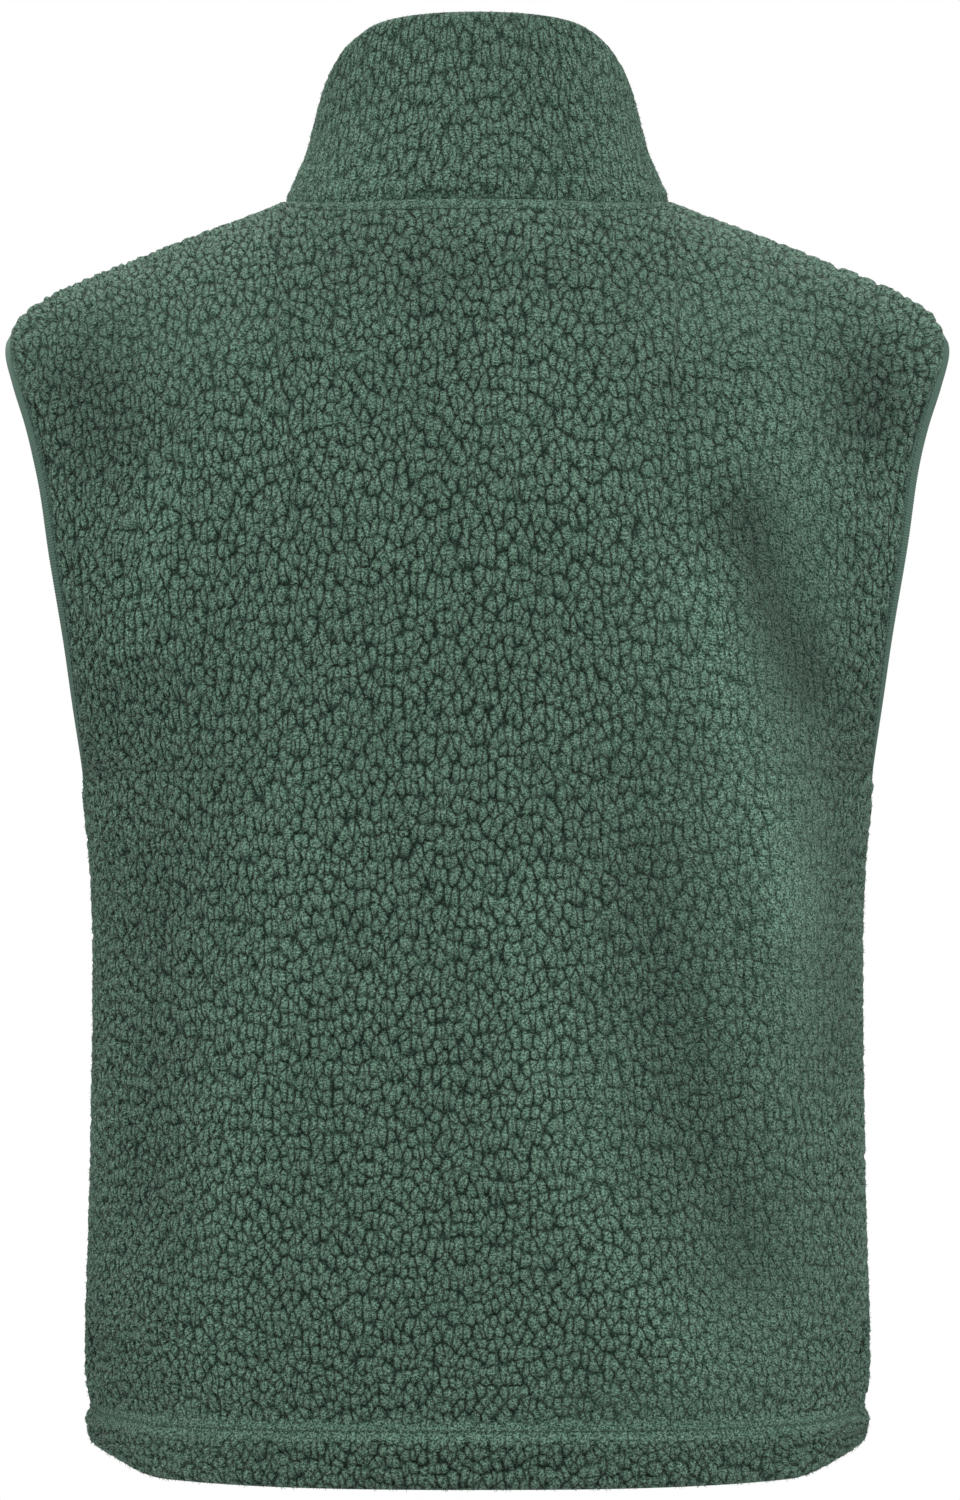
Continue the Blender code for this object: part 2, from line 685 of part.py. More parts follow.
def zip_path(x, below_top=TAPE_BELOW_TOP):
    """Points and outward directions up the front at this distance from its middle line."""
    surface = cloth(FRONT, 1)
    ups = up_rows(FRONT, 0.03)
    low = np.array(ZIP_LOW_ROWS) / (UNDERARM - HEM)
    ups = np.concatenate([low, ups[len(HEM_ROWS) : -1]])
    half, angle = section_edge(FRONT, body(FRONT, 0.05, ups)[..., 2])
    across = np.arcsin(x / half) / angle
    theta = np.pi - np.arcsin(x / NECK_HALF_WIDTH)
    height = np.linalg.norm(collar_surface(theta, 1.0) - collar_surface(theta, 0.0))
    q = np.linspace(0.03, 1 - below_top / height, ZIP_COLLAR_STEPS)
    points = np.concatenate([surface(across, ups), collar_surface(theta, q)])
    outs = np.concatenate([normals(surface, across, ups), collar_normal(theta, q)])
    return points, outs


def strip(name, section, made, first=0, below_top=TAPE_BELOW_TOP):
    """A bar swept along the zip: section points are (x, depth)."""
    ring = []
    for x, depth in section:
        points, outs = zip_path(abs(x), below_top)
        ring.append(((points + outs * depth) * np.array([np.sign(x), 1, 1]))[first:])
    ring = np.stack(ring, axis=1)
    count, around = ring.shape[:2]
    faces = [tuple(range(around)), tuple(range((count - 1) * around, count * around))[::-1]]
    for i in range(count - 1):
        for j in range(around):
            a, b, k = i * around, (i + 1) * around, (j + 1) % around
            faces.append((a + j, b + j, b + k, a + k))
    return solid(name, ring.reshape(-1, 3), faces, made)


def zip_parts(tape_made, teeth_made, metal_made):
    top, low = TAPE_DEPTH
    for name, side in (("zip_tape_left", 1), ("zip_tape_right", -1)):
        section = [(side * x, top) for x in TAPE] + [(side * x, low) for x in TAPE[::-1]]
        strip(name, section, tape_made)
    w, (top, low) = TEETH_HALF_WIDTH, TEETH_DEPTH
    section = (
        (-w, top - TEETH_BEVEL),
        (-w + TEETH_BEVEL, top),
        (w - TEETH_BEVEL, top),
        (w, top - TEETH_BEVEL),
        (w, low + TEETH_BEVEL),
        (w - TEETH_BEVEL, low),
        (-w + TEETH_BEVEL, low),
        (-w, low + TEETH_BEVEL),
    )
    strip("zip_chain", section, teeth_made, first=1, below_top=CHAIN_BELOW_TOP)
    points, outs = zip_path(0.0)
    start, end = points[0], points[1]
    frame = (start, unit(end - start), unit(outs[0] + outs[2]))
    heights = (0, np.linalg.norm(end - start) - GAP)

    def filled(i, j, k):
        return i == 1 or k != 1

    blocks("zip_box", frame, BOX_X, heights, BOX_DEPTH, filled, metal_made, 0.3)


def blocks(name, frame, xs, ts, ns, filled, made, bevel):
    """Small hard piece from the filled cells of a grid in (x, along the zip, outward)."""
    origin, up, out = frame
    cells = {
        (i, j, k)
        for i in range(len(xs) - 1)
        for j in range(len(ts) - 1)
        for k in range(len(ns) - 1)
        if filled(i, j, k)
    }
    index, points, faces = {}, [], []

    def corner(i, j, k):
        if (i, j, k) not in index:
            index[(i, j, k)] = len(points)
            points.append(origin + np.array([1.0, 0, 0]) * xs[i] + up * ts[j] + out * ns[k])
        return index[(i, j, k)]

    sides = (
        ((1, 0, 0), ((1, 0, 0), (1, 1, 0), (1, 1, 1), (1, 0, 1))),
        ((-1, 0, 0), ((0, 0, 0), (0, 0, 1), (0, 1, 1), (0, 1, 0))),
        ((0, 1, 0), ((0, 1, 0), (0, 1, 1), (1, 1, 1), (1, 1, 0))),
        ((0, -1, 0), ((0, 0, 0), (1, 0, 0), (1, 0, 1), (0, 0, 1))),
        ((0, 0, 1), ((0, 0, 1), (1, 0, 1), (1, 1, 1), (0, 1, 1))),
        ((0, 0, -1), ((0, 0, 0), (0, 1, 0), (1, 1, 0), (1, 0, 0))),
    )
    for cell in sorted(cells):
        for step, corners in sides:
            if tuple(np.add(cell, step)) not in cells:
                faces.append([corner(*np.add(cell, c)) for c in corners])
    obj = solid(name, points, faces, made, smooth=False)
    edge = obj.modifiers.new("rounded", "BEVEL")
    edge.width = bevel * MM
    edge.segments = 2
    edge.limit_method = "ANGLE"
    return obj


def slider_frame():
    """Middle of the slider on the collar's outer face, and its directions."""
    theta = np.pi
    height = np.linalg.norm(collar_surface(theta, 1.0) - collar_surface(theta, 0.0))
    q = 1 - SLIDER_BELOW_TOP / height
    p = collar_surface(theta, q)
    up = unit(collar_surface(theta, q + 0.05) - collar_surface(theta, q - 0.05))
    out = unit(np.cross(up, np.array([1.0, 0, 0])))
    out = out if out[1] < 0 else -out
    return p, up, out


def slider_and_pull(slider_made, pull_made):
    frame = slider_frame()

    def slider_filled(i, j, k):
        plate = k in (0, 2)
        post = k == 1 and j == 4 and i in (1, 2, 3)
        arch = i == 2 and ((k == 3 and j in (1, 3)) or (k == 4 and j in (1, 2, 3)))
        return plate or post or arch

    def pull_filled(i, j, k):
        return not (i == 1 and j == 2)

    blocks("zip_slider", frame, SLIDER_X, SLIDER_UP, SLIDER_OUT, slider_filled, slider_made, 0.25)
    origin, up, out = frame
    pivot = origin + up * PIVOT[0] + out * PIVOT[1]
    blocks("zip_pull", (pivot, up, out), PULL_X, PULL_UP, PULL_OUT, pull_filled, pull_made, 0.35)


def build():
    for obj in list(bpy.data.objects):
        bpy.data.objects.remove(obj)
    shell = Shell()
    ids, chart = half_panel(shell, BACK, 1)
    ids_right, _ = half_panel(shell, BACK, -1, centre=ids[:, 0])
    back_seam = seam_points(shell, (ids, ids_right), chart, BACK)
    shell.build("back", material("fleece_back", FLEECE, 0.95))
    fronts = []
    for side, name in ((1, "front_left"), (-1, "front_right")):
        shell = Shell()
        ids, chart = half_panel(shell, FRONT, side)
        fronts.append(seam_points(shell, (ids,), chart, FRONT, side))
        shell.build(name, material("fleece_" + name, FLEECE, 0.95))
    collar(join_seams(back_seam, fronts), material("fleece_collar", FLEECE, 0.95))
    binding("armhole_binding_left", 1, material("binding_left", KNIT, 0.8))
    binding("armhole_binding_right", -1, material("binding_right", KNIT, 0.8))
    zip_parts(
        material("zip_tape", TAPE_COLOUR, 0.85),
        material("zip_teeth", TEETH_COLOUR, 0.5),
        material("zip_end", TEETH_COLOUR, 0.5),
    )
    slider_and_pull(material("slider_metal", METAL, 0.35), material("pull_metal", METAL, 0.35))


def seam_points(shell, halves, chart, face, side=1):
    """Neck edge of a panel: (theta, side, outer, inner, upward) from the middle outwards."""
    last = neck_columns(chart, face)
    outer, inner = np.array(shell.outer), np.array(shell.inner)
    found = []
    for own_side, ids in zip((side, -side), halves):
        out, low = outer[ids[-1, : last + 1]], outer[ids[-2, : last + 1]]
        inn = inner[ids[-1, : last + 1]]
        run = np.gradient(out, axis=0)
        lift = unit(np.cross(run, out - inn))
        lift *= np.where(((out - low) * lift).sum(-1, keepdims=True) < 0, -1, 1)
        place = body(face, chart[-1, : last + 1, 0], chart[-1, : last + 1, 1])
        found.append(
            [
                (theta_of(place[k, 0], face == BACK), own_side, out[k], inn[k], lift[k])
                for k in range(last + 1)
            ]
        )
    return found


def join_seams(back, fronts):
    """One run of neck points, left front edge, back, right front edge."""
    left, right = fronts[0][0], fronts[1][0]
    runs = []
    for front, rear in ((left, back[0]), (right, back[1])):
        corner_front, corner_rear = front[-1], rear[-1]
        corner = (
            np.pi / 2,
            corner_rear[1],
            (corner_front[2] + corner_rear[2]) / 2,
            (corner_front[3] + corner_rear[3]) / 2,
            unit(np.array([-0.5 * corner_rear[1], 0, 0.6])),
        )
        runs.append(front[:-1] + [corner] + rear[-2::-1])
    return runs[0] + runs[1][-2::-1]


build()
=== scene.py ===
"""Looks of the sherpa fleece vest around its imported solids.

Tables and lengths are in millimetres, in the part's own frame: +X the wearer's left, +Y the back,
+Z up, and the origin at the middle of the neck base. Each cloth piece follows its solid's form.
"""

import bmesh
import bpy
import numpy as np
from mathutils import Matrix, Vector


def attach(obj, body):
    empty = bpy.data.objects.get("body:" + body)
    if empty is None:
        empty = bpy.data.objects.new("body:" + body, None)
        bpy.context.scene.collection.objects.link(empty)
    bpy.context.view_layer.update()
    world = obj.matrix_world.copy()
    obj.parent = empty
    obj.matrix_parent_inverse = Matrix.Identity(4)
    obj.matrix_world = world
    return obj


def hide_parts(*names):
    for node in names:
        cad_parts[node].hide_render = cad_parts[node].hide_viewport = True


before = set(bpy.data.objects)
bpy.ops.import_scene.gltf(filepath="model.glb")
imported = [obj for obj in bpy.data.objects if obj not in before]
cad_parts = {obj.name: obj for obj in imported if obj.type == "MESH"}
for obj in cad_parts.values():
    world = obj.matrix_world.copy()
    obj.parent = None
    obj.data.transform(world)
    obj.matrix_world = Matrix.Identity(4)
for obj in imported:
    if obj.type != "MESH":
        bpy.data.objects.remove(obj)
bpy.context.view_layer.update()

MM = 0.001
X_WAY = np.array([1.0, 0.0, 0.0])
VEST_MIDDLE = np.array([0.0, 0.0, -300.0])  # outward is away from here
GAP = 0.3
WALL, COLLAR_WALL = 6.0, 9.0
BACK, FRONT = 1, -1
HEM, UNDERARM = -594.5, -270.0

# The vest's form, from the same tables as its solids.
HALF_WIDTH = (
    (-640, 184.5), (-577, 185.2), (-530, 186.0), (-492, 184.6), (-416, 183.1), (-378, 182.6),
    (-321, 183.6), (-283, 187.0), (-245, 191.2), (-207, 195.2), (-169, 201.0), (-130, 208.0),
    (-108, 213.2), (-88, 219.6), (-72, 224.0), (-60, 224.8), (60, 224.8),
)
DEPTH = (
    (-640, 121, 128), (-520, 121, 130), (-400, 117, 130), (-300, 116, 132), (-200, 119, 131),
    (-100, 116, 127), (60, 114, 126),
)
SECTION_POWER = 2.6
RIDGE = (
    (-30, 30.6, -1), (0, 35, -4.5), (30, 30.6, -1), (60, 17.6, 4), (80, 7.0, 3.4),
    (92.6, 0.6, 0.6), (103, -3.8, -3.8), (114.5, -8.0, -8.0), (135.9, -16.2, -16.2),
    (161, -26, -26), (185.7, -35.8, -35.8), (206.6, -45.6, -45.6), (218, -54, -54),
    (224.8, -64, -64), (230, -72, -72),
)
ROUNDING = (
    (-30, 181, 226), (0, 181, 232), (30, 181, 226), (60, 174, 206), (92.6, 166, 182),
    (160, 142, 142), (224.8, 104, 104), (240, 100, 100),
)
ARMHOLE_SHARE = {BACK: 0.415, FRONT: 0.43}
ARMHOLE_CURVE = 110.0
CURVE_START, WIDTH_START = 0.02, 0.08
SEAM_TURN, SEAM_TURN_AT, SEAM_TURN_SPREAD = 0.17, -560.0, 34.0
NECK_HALF_WIDTH = 92.6
NECK_DEPTH = {BACK: 70.0, FRONT: 85.0}
TOP_HALF_WIDTH, TOP_HALF_DEPTH, TOP_MIDDLE, TOP_POWER = 71.0, 57.5, 0.5, 2.3
COLLAR_TOP = ((-57, 21), (-30, 36), (0, 51), (8, 58), (22, 66), (33, 73.5), (46, 81), (58, 85))
COLLAR_LEAN = ((0, 0), (0.1, 0.16), (0.23, 0.32), (0.41, 0.53), (0.59, 0.66), (0.77, 0.79), (1, 1))
FOLDS_BACK = (
    (((-182, -80), (-182, -118)), 26, -4.5),
    (((176, -90), (176, -128)), 26, -4.5),
    (((-140, -92), (-155, -120), (-173, -150)), 13, 3.0),
    (((-132, -158), (-146, -200), (-160, -240)), 17, -4.5),
    (((-110, -200), (-137, -304), (-146, -380)), 22, 4.0),
    (((-70, -285), (-82, -354), (-101, -431), (-124, -500)), 22, -4.5),
    (((-28, -340), (-28, -436), (-64, -490), (-94, -532)), 24, 3.5),
    (((-64, -170), (-64, -215)), 34, -2.5),
    (((150, -230), (152, -340), (148, -460)), 20, -3.5),
    (((116, -84), (130, -137), (158, -212)), 17, 3.0),
    (((80, -290), (85, -372), (112, -454), (127, -525)), 24, 4.0),
    (((-30, -92), (34, -92)), 34, -3.0),
)
FOLDS_FRONT = (
    (((150, -110), (128, -170), (120, -230)), 20, -4.0),
    (((172, -140), (160, -220), (140, -300)), 18, 3.5),
    (((-148, -104), (-132, -160), (-118, -226)), 20, -4.0),
    (((-174, -150), (-156, -232), (-138, -310)), 18, 3.5),
    (((96, -330), (112, -420), (100, -520)), 24, -4.0),
    (((60, -380), (70, -470), (58, -540)), 20, 3.0),
    (((-84, -300), (-106, -400), (-98, -500)), 24, -4.0),
    (((-64, -420), (-58, -500), (-66, -550)), 20, 3.0),
)
PINCH = (24.0, -545.0, 9.0, 22.0, -5.5)  # at the side seams: y, z, half width, half height, rise
ZIP_EDGE = 6.0
TAPE_EDGES, TAPE_DEPTH = (3.3, 17.0), (-6.3, -7.1)
TAPE_BELOW_TOP, CHAIN_BELOW_TOP, ZIP_START = 2.5, 7.8, 3.0
TEETH_DEPTH = (-5.2, -7.6)
SLIDER_BELOW_TOP = 12.0
PIVOT = (2.4, -2.3)  # along the zip and outward, from the slider's middle

# Spacing of the fleece's points, across and up.
STEP_ACROSS, STEP_UP = ((1.65, 1.9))
FRONT_STEP = 1.05  # the fronts' spacing as a share of the back's


def table(rows, at, column=1):
    """Smooth curve through a table's column."""
    x = np.array([row[0] for row in rows], float)
    y = np.array([row[column] for row in rows], float)
    slope = np.gradient(y, x)
    at = np.clip(at, x[0], x[-1])
    i = np.clip(np.searchsorted(x, at) - 1, 0, len(x) - 2)
    width = x[i + 1] - x[i]
    t = (at - x[i]) / width
    rise = (3 - 2 * t) * t * t
    return (
        y[i] * (1 - rise)
        + y[i + 1] * rise
        + width * (slope[i] * t * (1 - t) ** 2 - slope[i + 1] * t * t * (1 - t))
    )


def soft(t):
    """A smooth step from 0 at nought to 1 at one."""
    t = np.clip(t, 0, 1)
    return t * t * (3 - 2 * t)


def bell(t):
    """A soft hump, 1 high at nought."""
    return np.exp(-(t**2))


def unit(v):
    """Directions of the same way, each one long."""
    return v / np.maximum(np.linalg.norm(v, axis=-1, keepdims=True), 1e-12)


def read_run(at, way, values):
    """Points or directions at these places, from a run of them whose own places are given."""
    return np.stack([np.interp(at, way, values[:, k]) for k in range(3)], -1)


# --- the vest's surfaces, as in its solids ----------------------------------------------------


def armhole_cut(face, z, start):
    """Width share at which the armhole cuts the body's section."""
    v = np.clip((z - UNDERARM) / ARMHOLE_CURVE, 0, 1)
    v = (1 + start) * v * v / (v + start)
    share = ARMHOLE_SHARE[face] ** 2 * np.clip(2 * v - v * v, 0, 1)
    return (1 - share) ** (1 / SECTION_POWER)


def section_edge(face, z):
    """Full half width of the section, and its angle at the piece's side edge."""
    turn = SEAM_TURN * bell((z - SEAM_TURN_AT) / SEAM_TURN_SPREAD)
    angle = np.arcsin(armhole_cut(face, z, CURVE_START)) - face * turn
    return table(HALF_WIDTH, z) / armhole_cut(face, z, WIDTH_START), angle


def neck(face, x):
    """Depth and height of the neck seam at this distance from the middle, and where it starts."""
    column = 1 if face == BACK else 2
    x = np.abs(x)
    half = section_edge(face, 0.0)[0]
    side = np.sqrt(np.clip(1 - (x / half) ** SECTION_POWER, 0.01, 1))
    y = NECK_DEPTH[face] * np.sqrt(np.clip(1 - (x / NECK_HALF_WIDTH) ** 2, 0, 1))
    start = np.arcsin(np.clip(y / (table(DEPTH, 0.0, column) * side), 0, 0.95))
    ridge = np.where(x < NECK_HALF_WIDTH - 0.01, table(RIDGE, x, column), table(RIDGE, x))
    return y, ridge - table(ROUNDING, x, column) * (1 - np.cos(start)), start


def body(face, across, up):
    """Points of the smooth body at chart places: across 0 to 1 from the middle to the side edge,
    up 0 to 1 from the hem to the underarm and on to 2 at the top."""
    column = 1 if face == BACK else 2
    half, angle = section_edge(face, 0.0)
    x_top = np.abs(half * np.sin(across * angle))
    radius = table(ROUNDING, x_top, column)
    _, z_top, start = neck(face, x_top)
    bend = np.pi / 2 - start
    rise = np.sin(bend * np.clip(up - 1, 0, 1)) / np.sin(bend)
    z = HEM + (UNDERARM - HEM) * np.minimum(up, 1) + (z_top - UNDERARM) * rise
    half, angle = section_edge(face, z)
    psi = across * angle
    x = half * np.sin(psi)
    depth = np.where((np.cos(psi) > 0) == (face == BACK), table(DEPTH, z, 1), table(DEPTH, z, 2))
    below = z_top + radius * (1 - np.cos(start)) - z
    u = np.clip(below / radius, 0, 1)
    over = np.sqrt(np.clip(1 - (1 - u) ** 2, 0, 1))
    share = np.sqrt(np.clip(1 - np.abs(np.sin(psi)) ** SECTION_POWER, 0, 1))
    y = face * np.sign(np.cos(psi)) * depth * share * over
    return np.stack(np.broadcast_arrays(x, y, z), -1)


def fold_rise(points, folds):
    """Rise of folds over the points, each a path seen from the front with a half width."""
    rise = np.zeros(points.shape[:-1])
    flat = points[..., [0, 2]]
    for path, width, height in folds:
        path = np.array(path, float)
        nearest = np.full(rise.shape, 1e9)
        for a, b in zip(path[:-1], path[1:]):
            t = np.clip(((flat - a) @ (b - a)) / ((b - a) @ (b - a)), 0, 1)
            away = np.linalg.norm(flat - a - t[..., None] * (b - a), axis=-1)
            nearest = np.minimum(nearest, away)
        rise += height * bell(nearest / width)
    return rise


def all_folds(face, p):
    """Rise of every fold of the cloth at these points of the smooth body. The back's folds fade
    into the fronts' at the sides, and all of them fade out toward the neck and the zip."""
    back = soft((p[..., 1] + 25) / 50)
    rise = back * fold_rise(p, FOLDS_BACK) + (1 - back) * fold_rise(p, FOLDS_FRONT)
    y, z, wide, tall, pinch = PINCH
    at_side = soft((np.abs(p[..., 0]) - 120) / 40)
    rise += at_side * pinch * bell((p[..., 1] - y) / wide) * bell((p[..., 2] - z) / tall)
    if face == FRONT:
        return rise * soft((-p[..., 2] - 20) / 40) * soft((np.abs(p[..., 0]) - 22) / 25)
    return rise * soft((-p[..., 2] - 10) / 40)


def point_normals(surface, across, up):
    """Outward directions of a surface at chart places."""
    step = 1e-4
    here = surface(across, up)
    low, high = surface(across, np.maximum(up - step, 0)), surface(across, np.minimum(up + step, 2))
    n = unit(np.cross(surface(across + step, up) - here, high - low))
    out = ((here - VEST_MIDDLE) * n).sum(-1, keepdims=True)
    return n * np.where(out < 0, -1, 1)


def put(surface, places, rise):
    """Points this far out from a surface, at chart places."""
    p = surface(places[..., 0], places[..., 1])
    return p + point_normals(surface, places[..., 0], places[..., 1]) * np.asarray(rise)[..., None]


def cloth(face, side):
    """The body surface with its folds, as a function of chart places on one half."""
    mirror = np.array([side, 1, 1])

    def smooth(across, up):
        return body(face, across, up) * mirror

    def folded(across, up):
        p = smooth(across, up)
        return p + point_normals(smooth, across, up) * all_folds(face, p)[..., None]

    return folded


def along(points):
    """Length from the first point along each run of points."""
    steps = np.linalg.norm(np.diff(points, axis=-2), axis=-1)
    return np.concatenate([np.zeros(steps.shape[:-1] + (1,)), np.cumsum(steps, -1)], -1)


def grid_normals(p, outward):
    """Normals of a grid of points, turned to the side of the outward test vectors."""
    n = unit(np.cross(np.gradient(p, axis=1), np.gradient(p, axis=0)))
    return n * np.where((n * outward).sum(-1, keepdims=True) < 0, -1, 1)


def distance_to(points, line):
    """Distance of each point from a polyline."""
    best = np.full(len(points), 1e9)
    for a, b in zip(line[:-1], line[1:]):
        d = b - a
        t = np.clip(((points - a) @ d) / max(d @ d, 1e-9), 0, 1)
        best = np.minimum(best, np.linalg.norm(points - a - t[:, None] * d, axis=1))
    return best


# --- node graphs, for the shaders and for the relief that comes from the same pattern ----------


ONE_WAVE = 0.314  # the wave texture's scale at which one band is one unit wide


class Graph:
    """Short ways to add nodes to a shader or geometry tree."""

    def __init__(self, tree):
        self.tree = tree

    def node(self, kind, inputs=None, **settings):
        """A new node with these settings, and with its inputs linked or set."""
        made = self.tree.nodes.new(kind)
        for key, value in settings.items():
            setattr(made, key, value)
        for key, value in (inputs or {}).items():
            self.feed(made.inputs[key], value)
        return made

    def feed(self, socket, value):
        """Links an input to another node's output, or sets its value."""
        if isinstance(value, bpy.types.NodeSocket):
            self.tree.links.new(value, socket)
        else:
            socket.default_value = value

    def math(self, operation, a, b):
        """A sum with two numbers."""
        return self.node("ShaderNodeMath", {0: a, 1: b}, operation=operation).outputs[0]

    def vector(self, operation, a, b):
        """A sum with two vectors."""
        return self.node("ShaderNodeVectorMath", {0: a, 1: b}, operation=operation).outputs[0]

    def noise(self, at, size, detail=1.0, rough=0.5, output=0):
        """Noise about 0.5 whose lattice has this size, one number or one a side."""
        scale = size if isinstance(size, tuple) else (size, size, size)
        place = self.vector("DIVIDE", at, scale)
        settings = {"Vector": place, "Scale": 1.0, "Detail": detail, "Roughness": rough}
        return self.node("ShaderNodeTexNoise", settings).outputs[output]

    def shifted(self, at, size, amount):
        """The place moved by up to half this amount, unevenly over this size."""
        by = self.vector("SUBTRACT", self.noise(at, size, 1.0, output=1), (0.5, 0.5, 0.5))
        return self.vector("MULTIPLY", by, (amount, amount, 0))

    def cells(self, at, feature):
        """Distance from scattered cells' middles (F1) or from their borders."""
        settings = {"Vector": at, "Scale": 1.0, "Randomness": 0.95}
        kind = "ShaderNodeTexVoronoi"
        return self.node(kind, settings, voronoi_dimensions="2D", feature=feature).outputs["Distance"]

    def wave(self, at, way):
        """Soft bands, one to each unit of the place."""
        settings = {"Vector": at, "Scale": ONE_WAVE, "Distortion": 1.1, "Detail": 1.0}
        return self.node("ShaderNodeTexWave", settings, bands_direction=way).outputs["Fac"]

    def spread(self, value, low, high, to_low=0.0, to_high=1.0, kind="SMOOTHSTEP"):
        """A value between low and high, mapped to the other two and held there beyond them."""
        limits = {"From Min": low, "From Max": high, "To Min": to_low, "To Max": to_high}
        inputs = {"Value": value, **limits}
        return self.node("ShaderNodeMapRange", inputs, interpolation_type=kind).outputs[0]

    def colours(self, factor, a, b, kind="MIX"):
        """Mix of two colours."""
        made = self.node("ShaderNodeMix", data_type="RGBA", blend_type=kind)
        for index, value in ((0, factor), (6, a), (7, b)):
            if isinstance(value, tuple) and len(value) == 3:
                value = (*value, 1)
            self.feed(made.inputs[index], value)
        return made.outputs[2]


def pile(g, clump, nap_and_painted_light):
    """Border distance, dome and strength of the fleece's clumps, at places counted in clumps."""
    split = g.node("ShaderNodeSeparateXYZ", {0: nap_and_painted_light})
    smooth, pressed = split.outputs[0], split.outputs[1]
    place = g.vector("ADD", clump, g.shifted(clump, 2.6, 1.25))
    place = g.vector("ADD", place, g.shifted(clump, 0.28, 0.24))
    middle = g.cells(place, "F1")
    run = g.spread(g.noise(clump, (0.8, 1.1, 1.0)), 0.32, 0.55, 0.24, 1.0)
    strength = g.math("MULTIPLY", run, g.spread(smooth, 0.0, 1.0, 1.0, 0.12, "LINEAR"))
    strength = g.math("MULTIPLY", strength, g.spread(pressed, 0.0, 1.0, 1.0, 0.1, "LINEAR"))
    corner = g.spread(middle, 0.42, 0.80, 0.0, 0.09)
    border = g.math("SUBTRACT", g.cells(place, "DISTANCE_TO_EDGE"), corner)
    return border, g.spread(middle, 0.08, 0.72, 1.0, 0.0), strength


def clump_height(g, border, dome, strength):
    """Height of the clumps, 1 at a crown, down to nought in a strong groove."""
    low = g.math("MULTIPLY", g.math("ADD", g.spread(border, 0.0, 0.16), dome), 0.5)
    deep = g.math("MULTIPLY", g.math("SUBTRACT", 1.0, low), g.spread(strength, 0, 1, 0.35, 1.0))
    return g.math("SUBTRACT", 1.0, deep)


def relief(clump, nap_and_painted_light):
    """Height of the clumps at each place, worked out by the same nodes as the shader's."""
    mesh = bpy.data.meshes.new("relief")
    mesh.vertices.add(clump.size // 3)
    for name, values in (("clump", clump), ("nap_and_painted_light", nap_and_painted_light)):
        made = mesh.attributes.new(name, "FLOAT_VECTOR", "POINT")
        made.data.foreach_set("vector", values.astype(np.float32).ravel())
    tree = bpy.data.node_groups.new("relief", "GeometryNodeTree")
    tree.interface.new_socket("Geometry", in_out="INPUT", socket_type="NodeSocketGeometry")
    tree.interface.new_socket("Geometry", in_out="OUTPUT", socket_type="NodeSocketGeometry")
    g = Graph(tree)
    start, end = g.node("NodeGroupInput"), g.node("NodeGroupOutput")
    inputs = []
    for name in ("clump", "nap_and_painted_light"):
        kind = "GeometryNodeInputNamedAttribute"
        named = g.node(kind, {"Name": name}, data_type="FLOAT_VECTOR")
        inputs.append(named.outputs["Attribute"])
    height = clump_height(g, *pile(g, *inputs))
    kind = "GeometryNodeStoreNamedAttribute"
    store = g.node(kind, {"Name": "height"}, data_type="FLOAT", domain="POINT")
    tree.links.new(start.outputs[0], store.inputs["Geometry"])
    tree.links.new(height, store.inputs["Value"])
    tree.links.new(store.outputs[0], end.inputs[0])
    obj = bpy.data.objects.new("relief", mesh)
    bpy.context.scene.collection.objects.link(obj)
    obj.modifiers.new("relief", "NODES").node_group = tree
    made = obj.evaluated_get(bpy.context.evaluated_depsgraph_get()).data
    heights = np.zeros(clump.size // 3, np.float32)
    made.attributes["height"].data.foreach_get("value", heights)
    bpy.data.objects.remove(obj)
    bpy.data.meshes.remove(mesh)
    bpy.data.node_groups.remove(tree)
    return heights.astype(float).reshape(clump.shape[:-1])


# --- materials ---------------------------------------------------------------------------------

FLEECE_LOW, FLEECE_MID = (0.036, 0.083, 0.056), (0.060, 0.120, 0.085)
# The first tone here is a painted highlight for the clumps' crowns.
FLEECE_PAINTED_HIGHLIGHT, FLEECE_SOFT = (0.080, 0.153, 0.110), (0.074, 0.140, 0.102)
# The shade and crack tones are painted shade for the grooves between clumps.
FLEECE_SHADE, FLEECE_CRACK_SHADE = (0.020, 0.050, 0.033), (0.003, 0.012, 0.007)
SPECK_DARK, SPECK_LIGHT = (0.28, 0.34, 0.31), (2.15, 1.95, 2.05)


def new_material(name):
    """A material with its graph and its surface node."""
    made = bpy.data.materials.new(name)
    made.use_nodes = True
    return made, Graph(made.node_tree), made.node_tree.nodes["Principled BSDF"]


def attribute(g, name="cloth"):
    """A value that the meshes hold at each point."""
    return g.node("ShaderNodeAttribute", attribute_name=name).outputs["Vector"]


def paint(g, shader, tone, grain, low, high):
    """Colour, and a roughness from low to high by the grain."""
    g.feed(shader.inputs["Base Color"], tone)
    g.feed(shader.inputs["Roughness"], g.spread(grain, 0.3, 0.7, low, high))


def finish_cloth(g, shader, height, strength, depth, sheen):
    """Bump and the soft fabric surface that every cloth here has."""
    shader.inputs["Specular IOR Level"].default_value = 0.12
    shader.inputs["Sheen Weight"].default_value = sheen
    shader.inputs["Sheen Roughness"].default_value = 0.55
    shader.inputs["Sheen Tint"].default_value = (0.62, 0.74, 0.67, 1)
    bump = g.node("ShaderNodeBump", {"Strength": strength, "Distance": depth * MM, "Height": height})
    g.feed(shader.inputs["Normal"], bump.outputs[0])


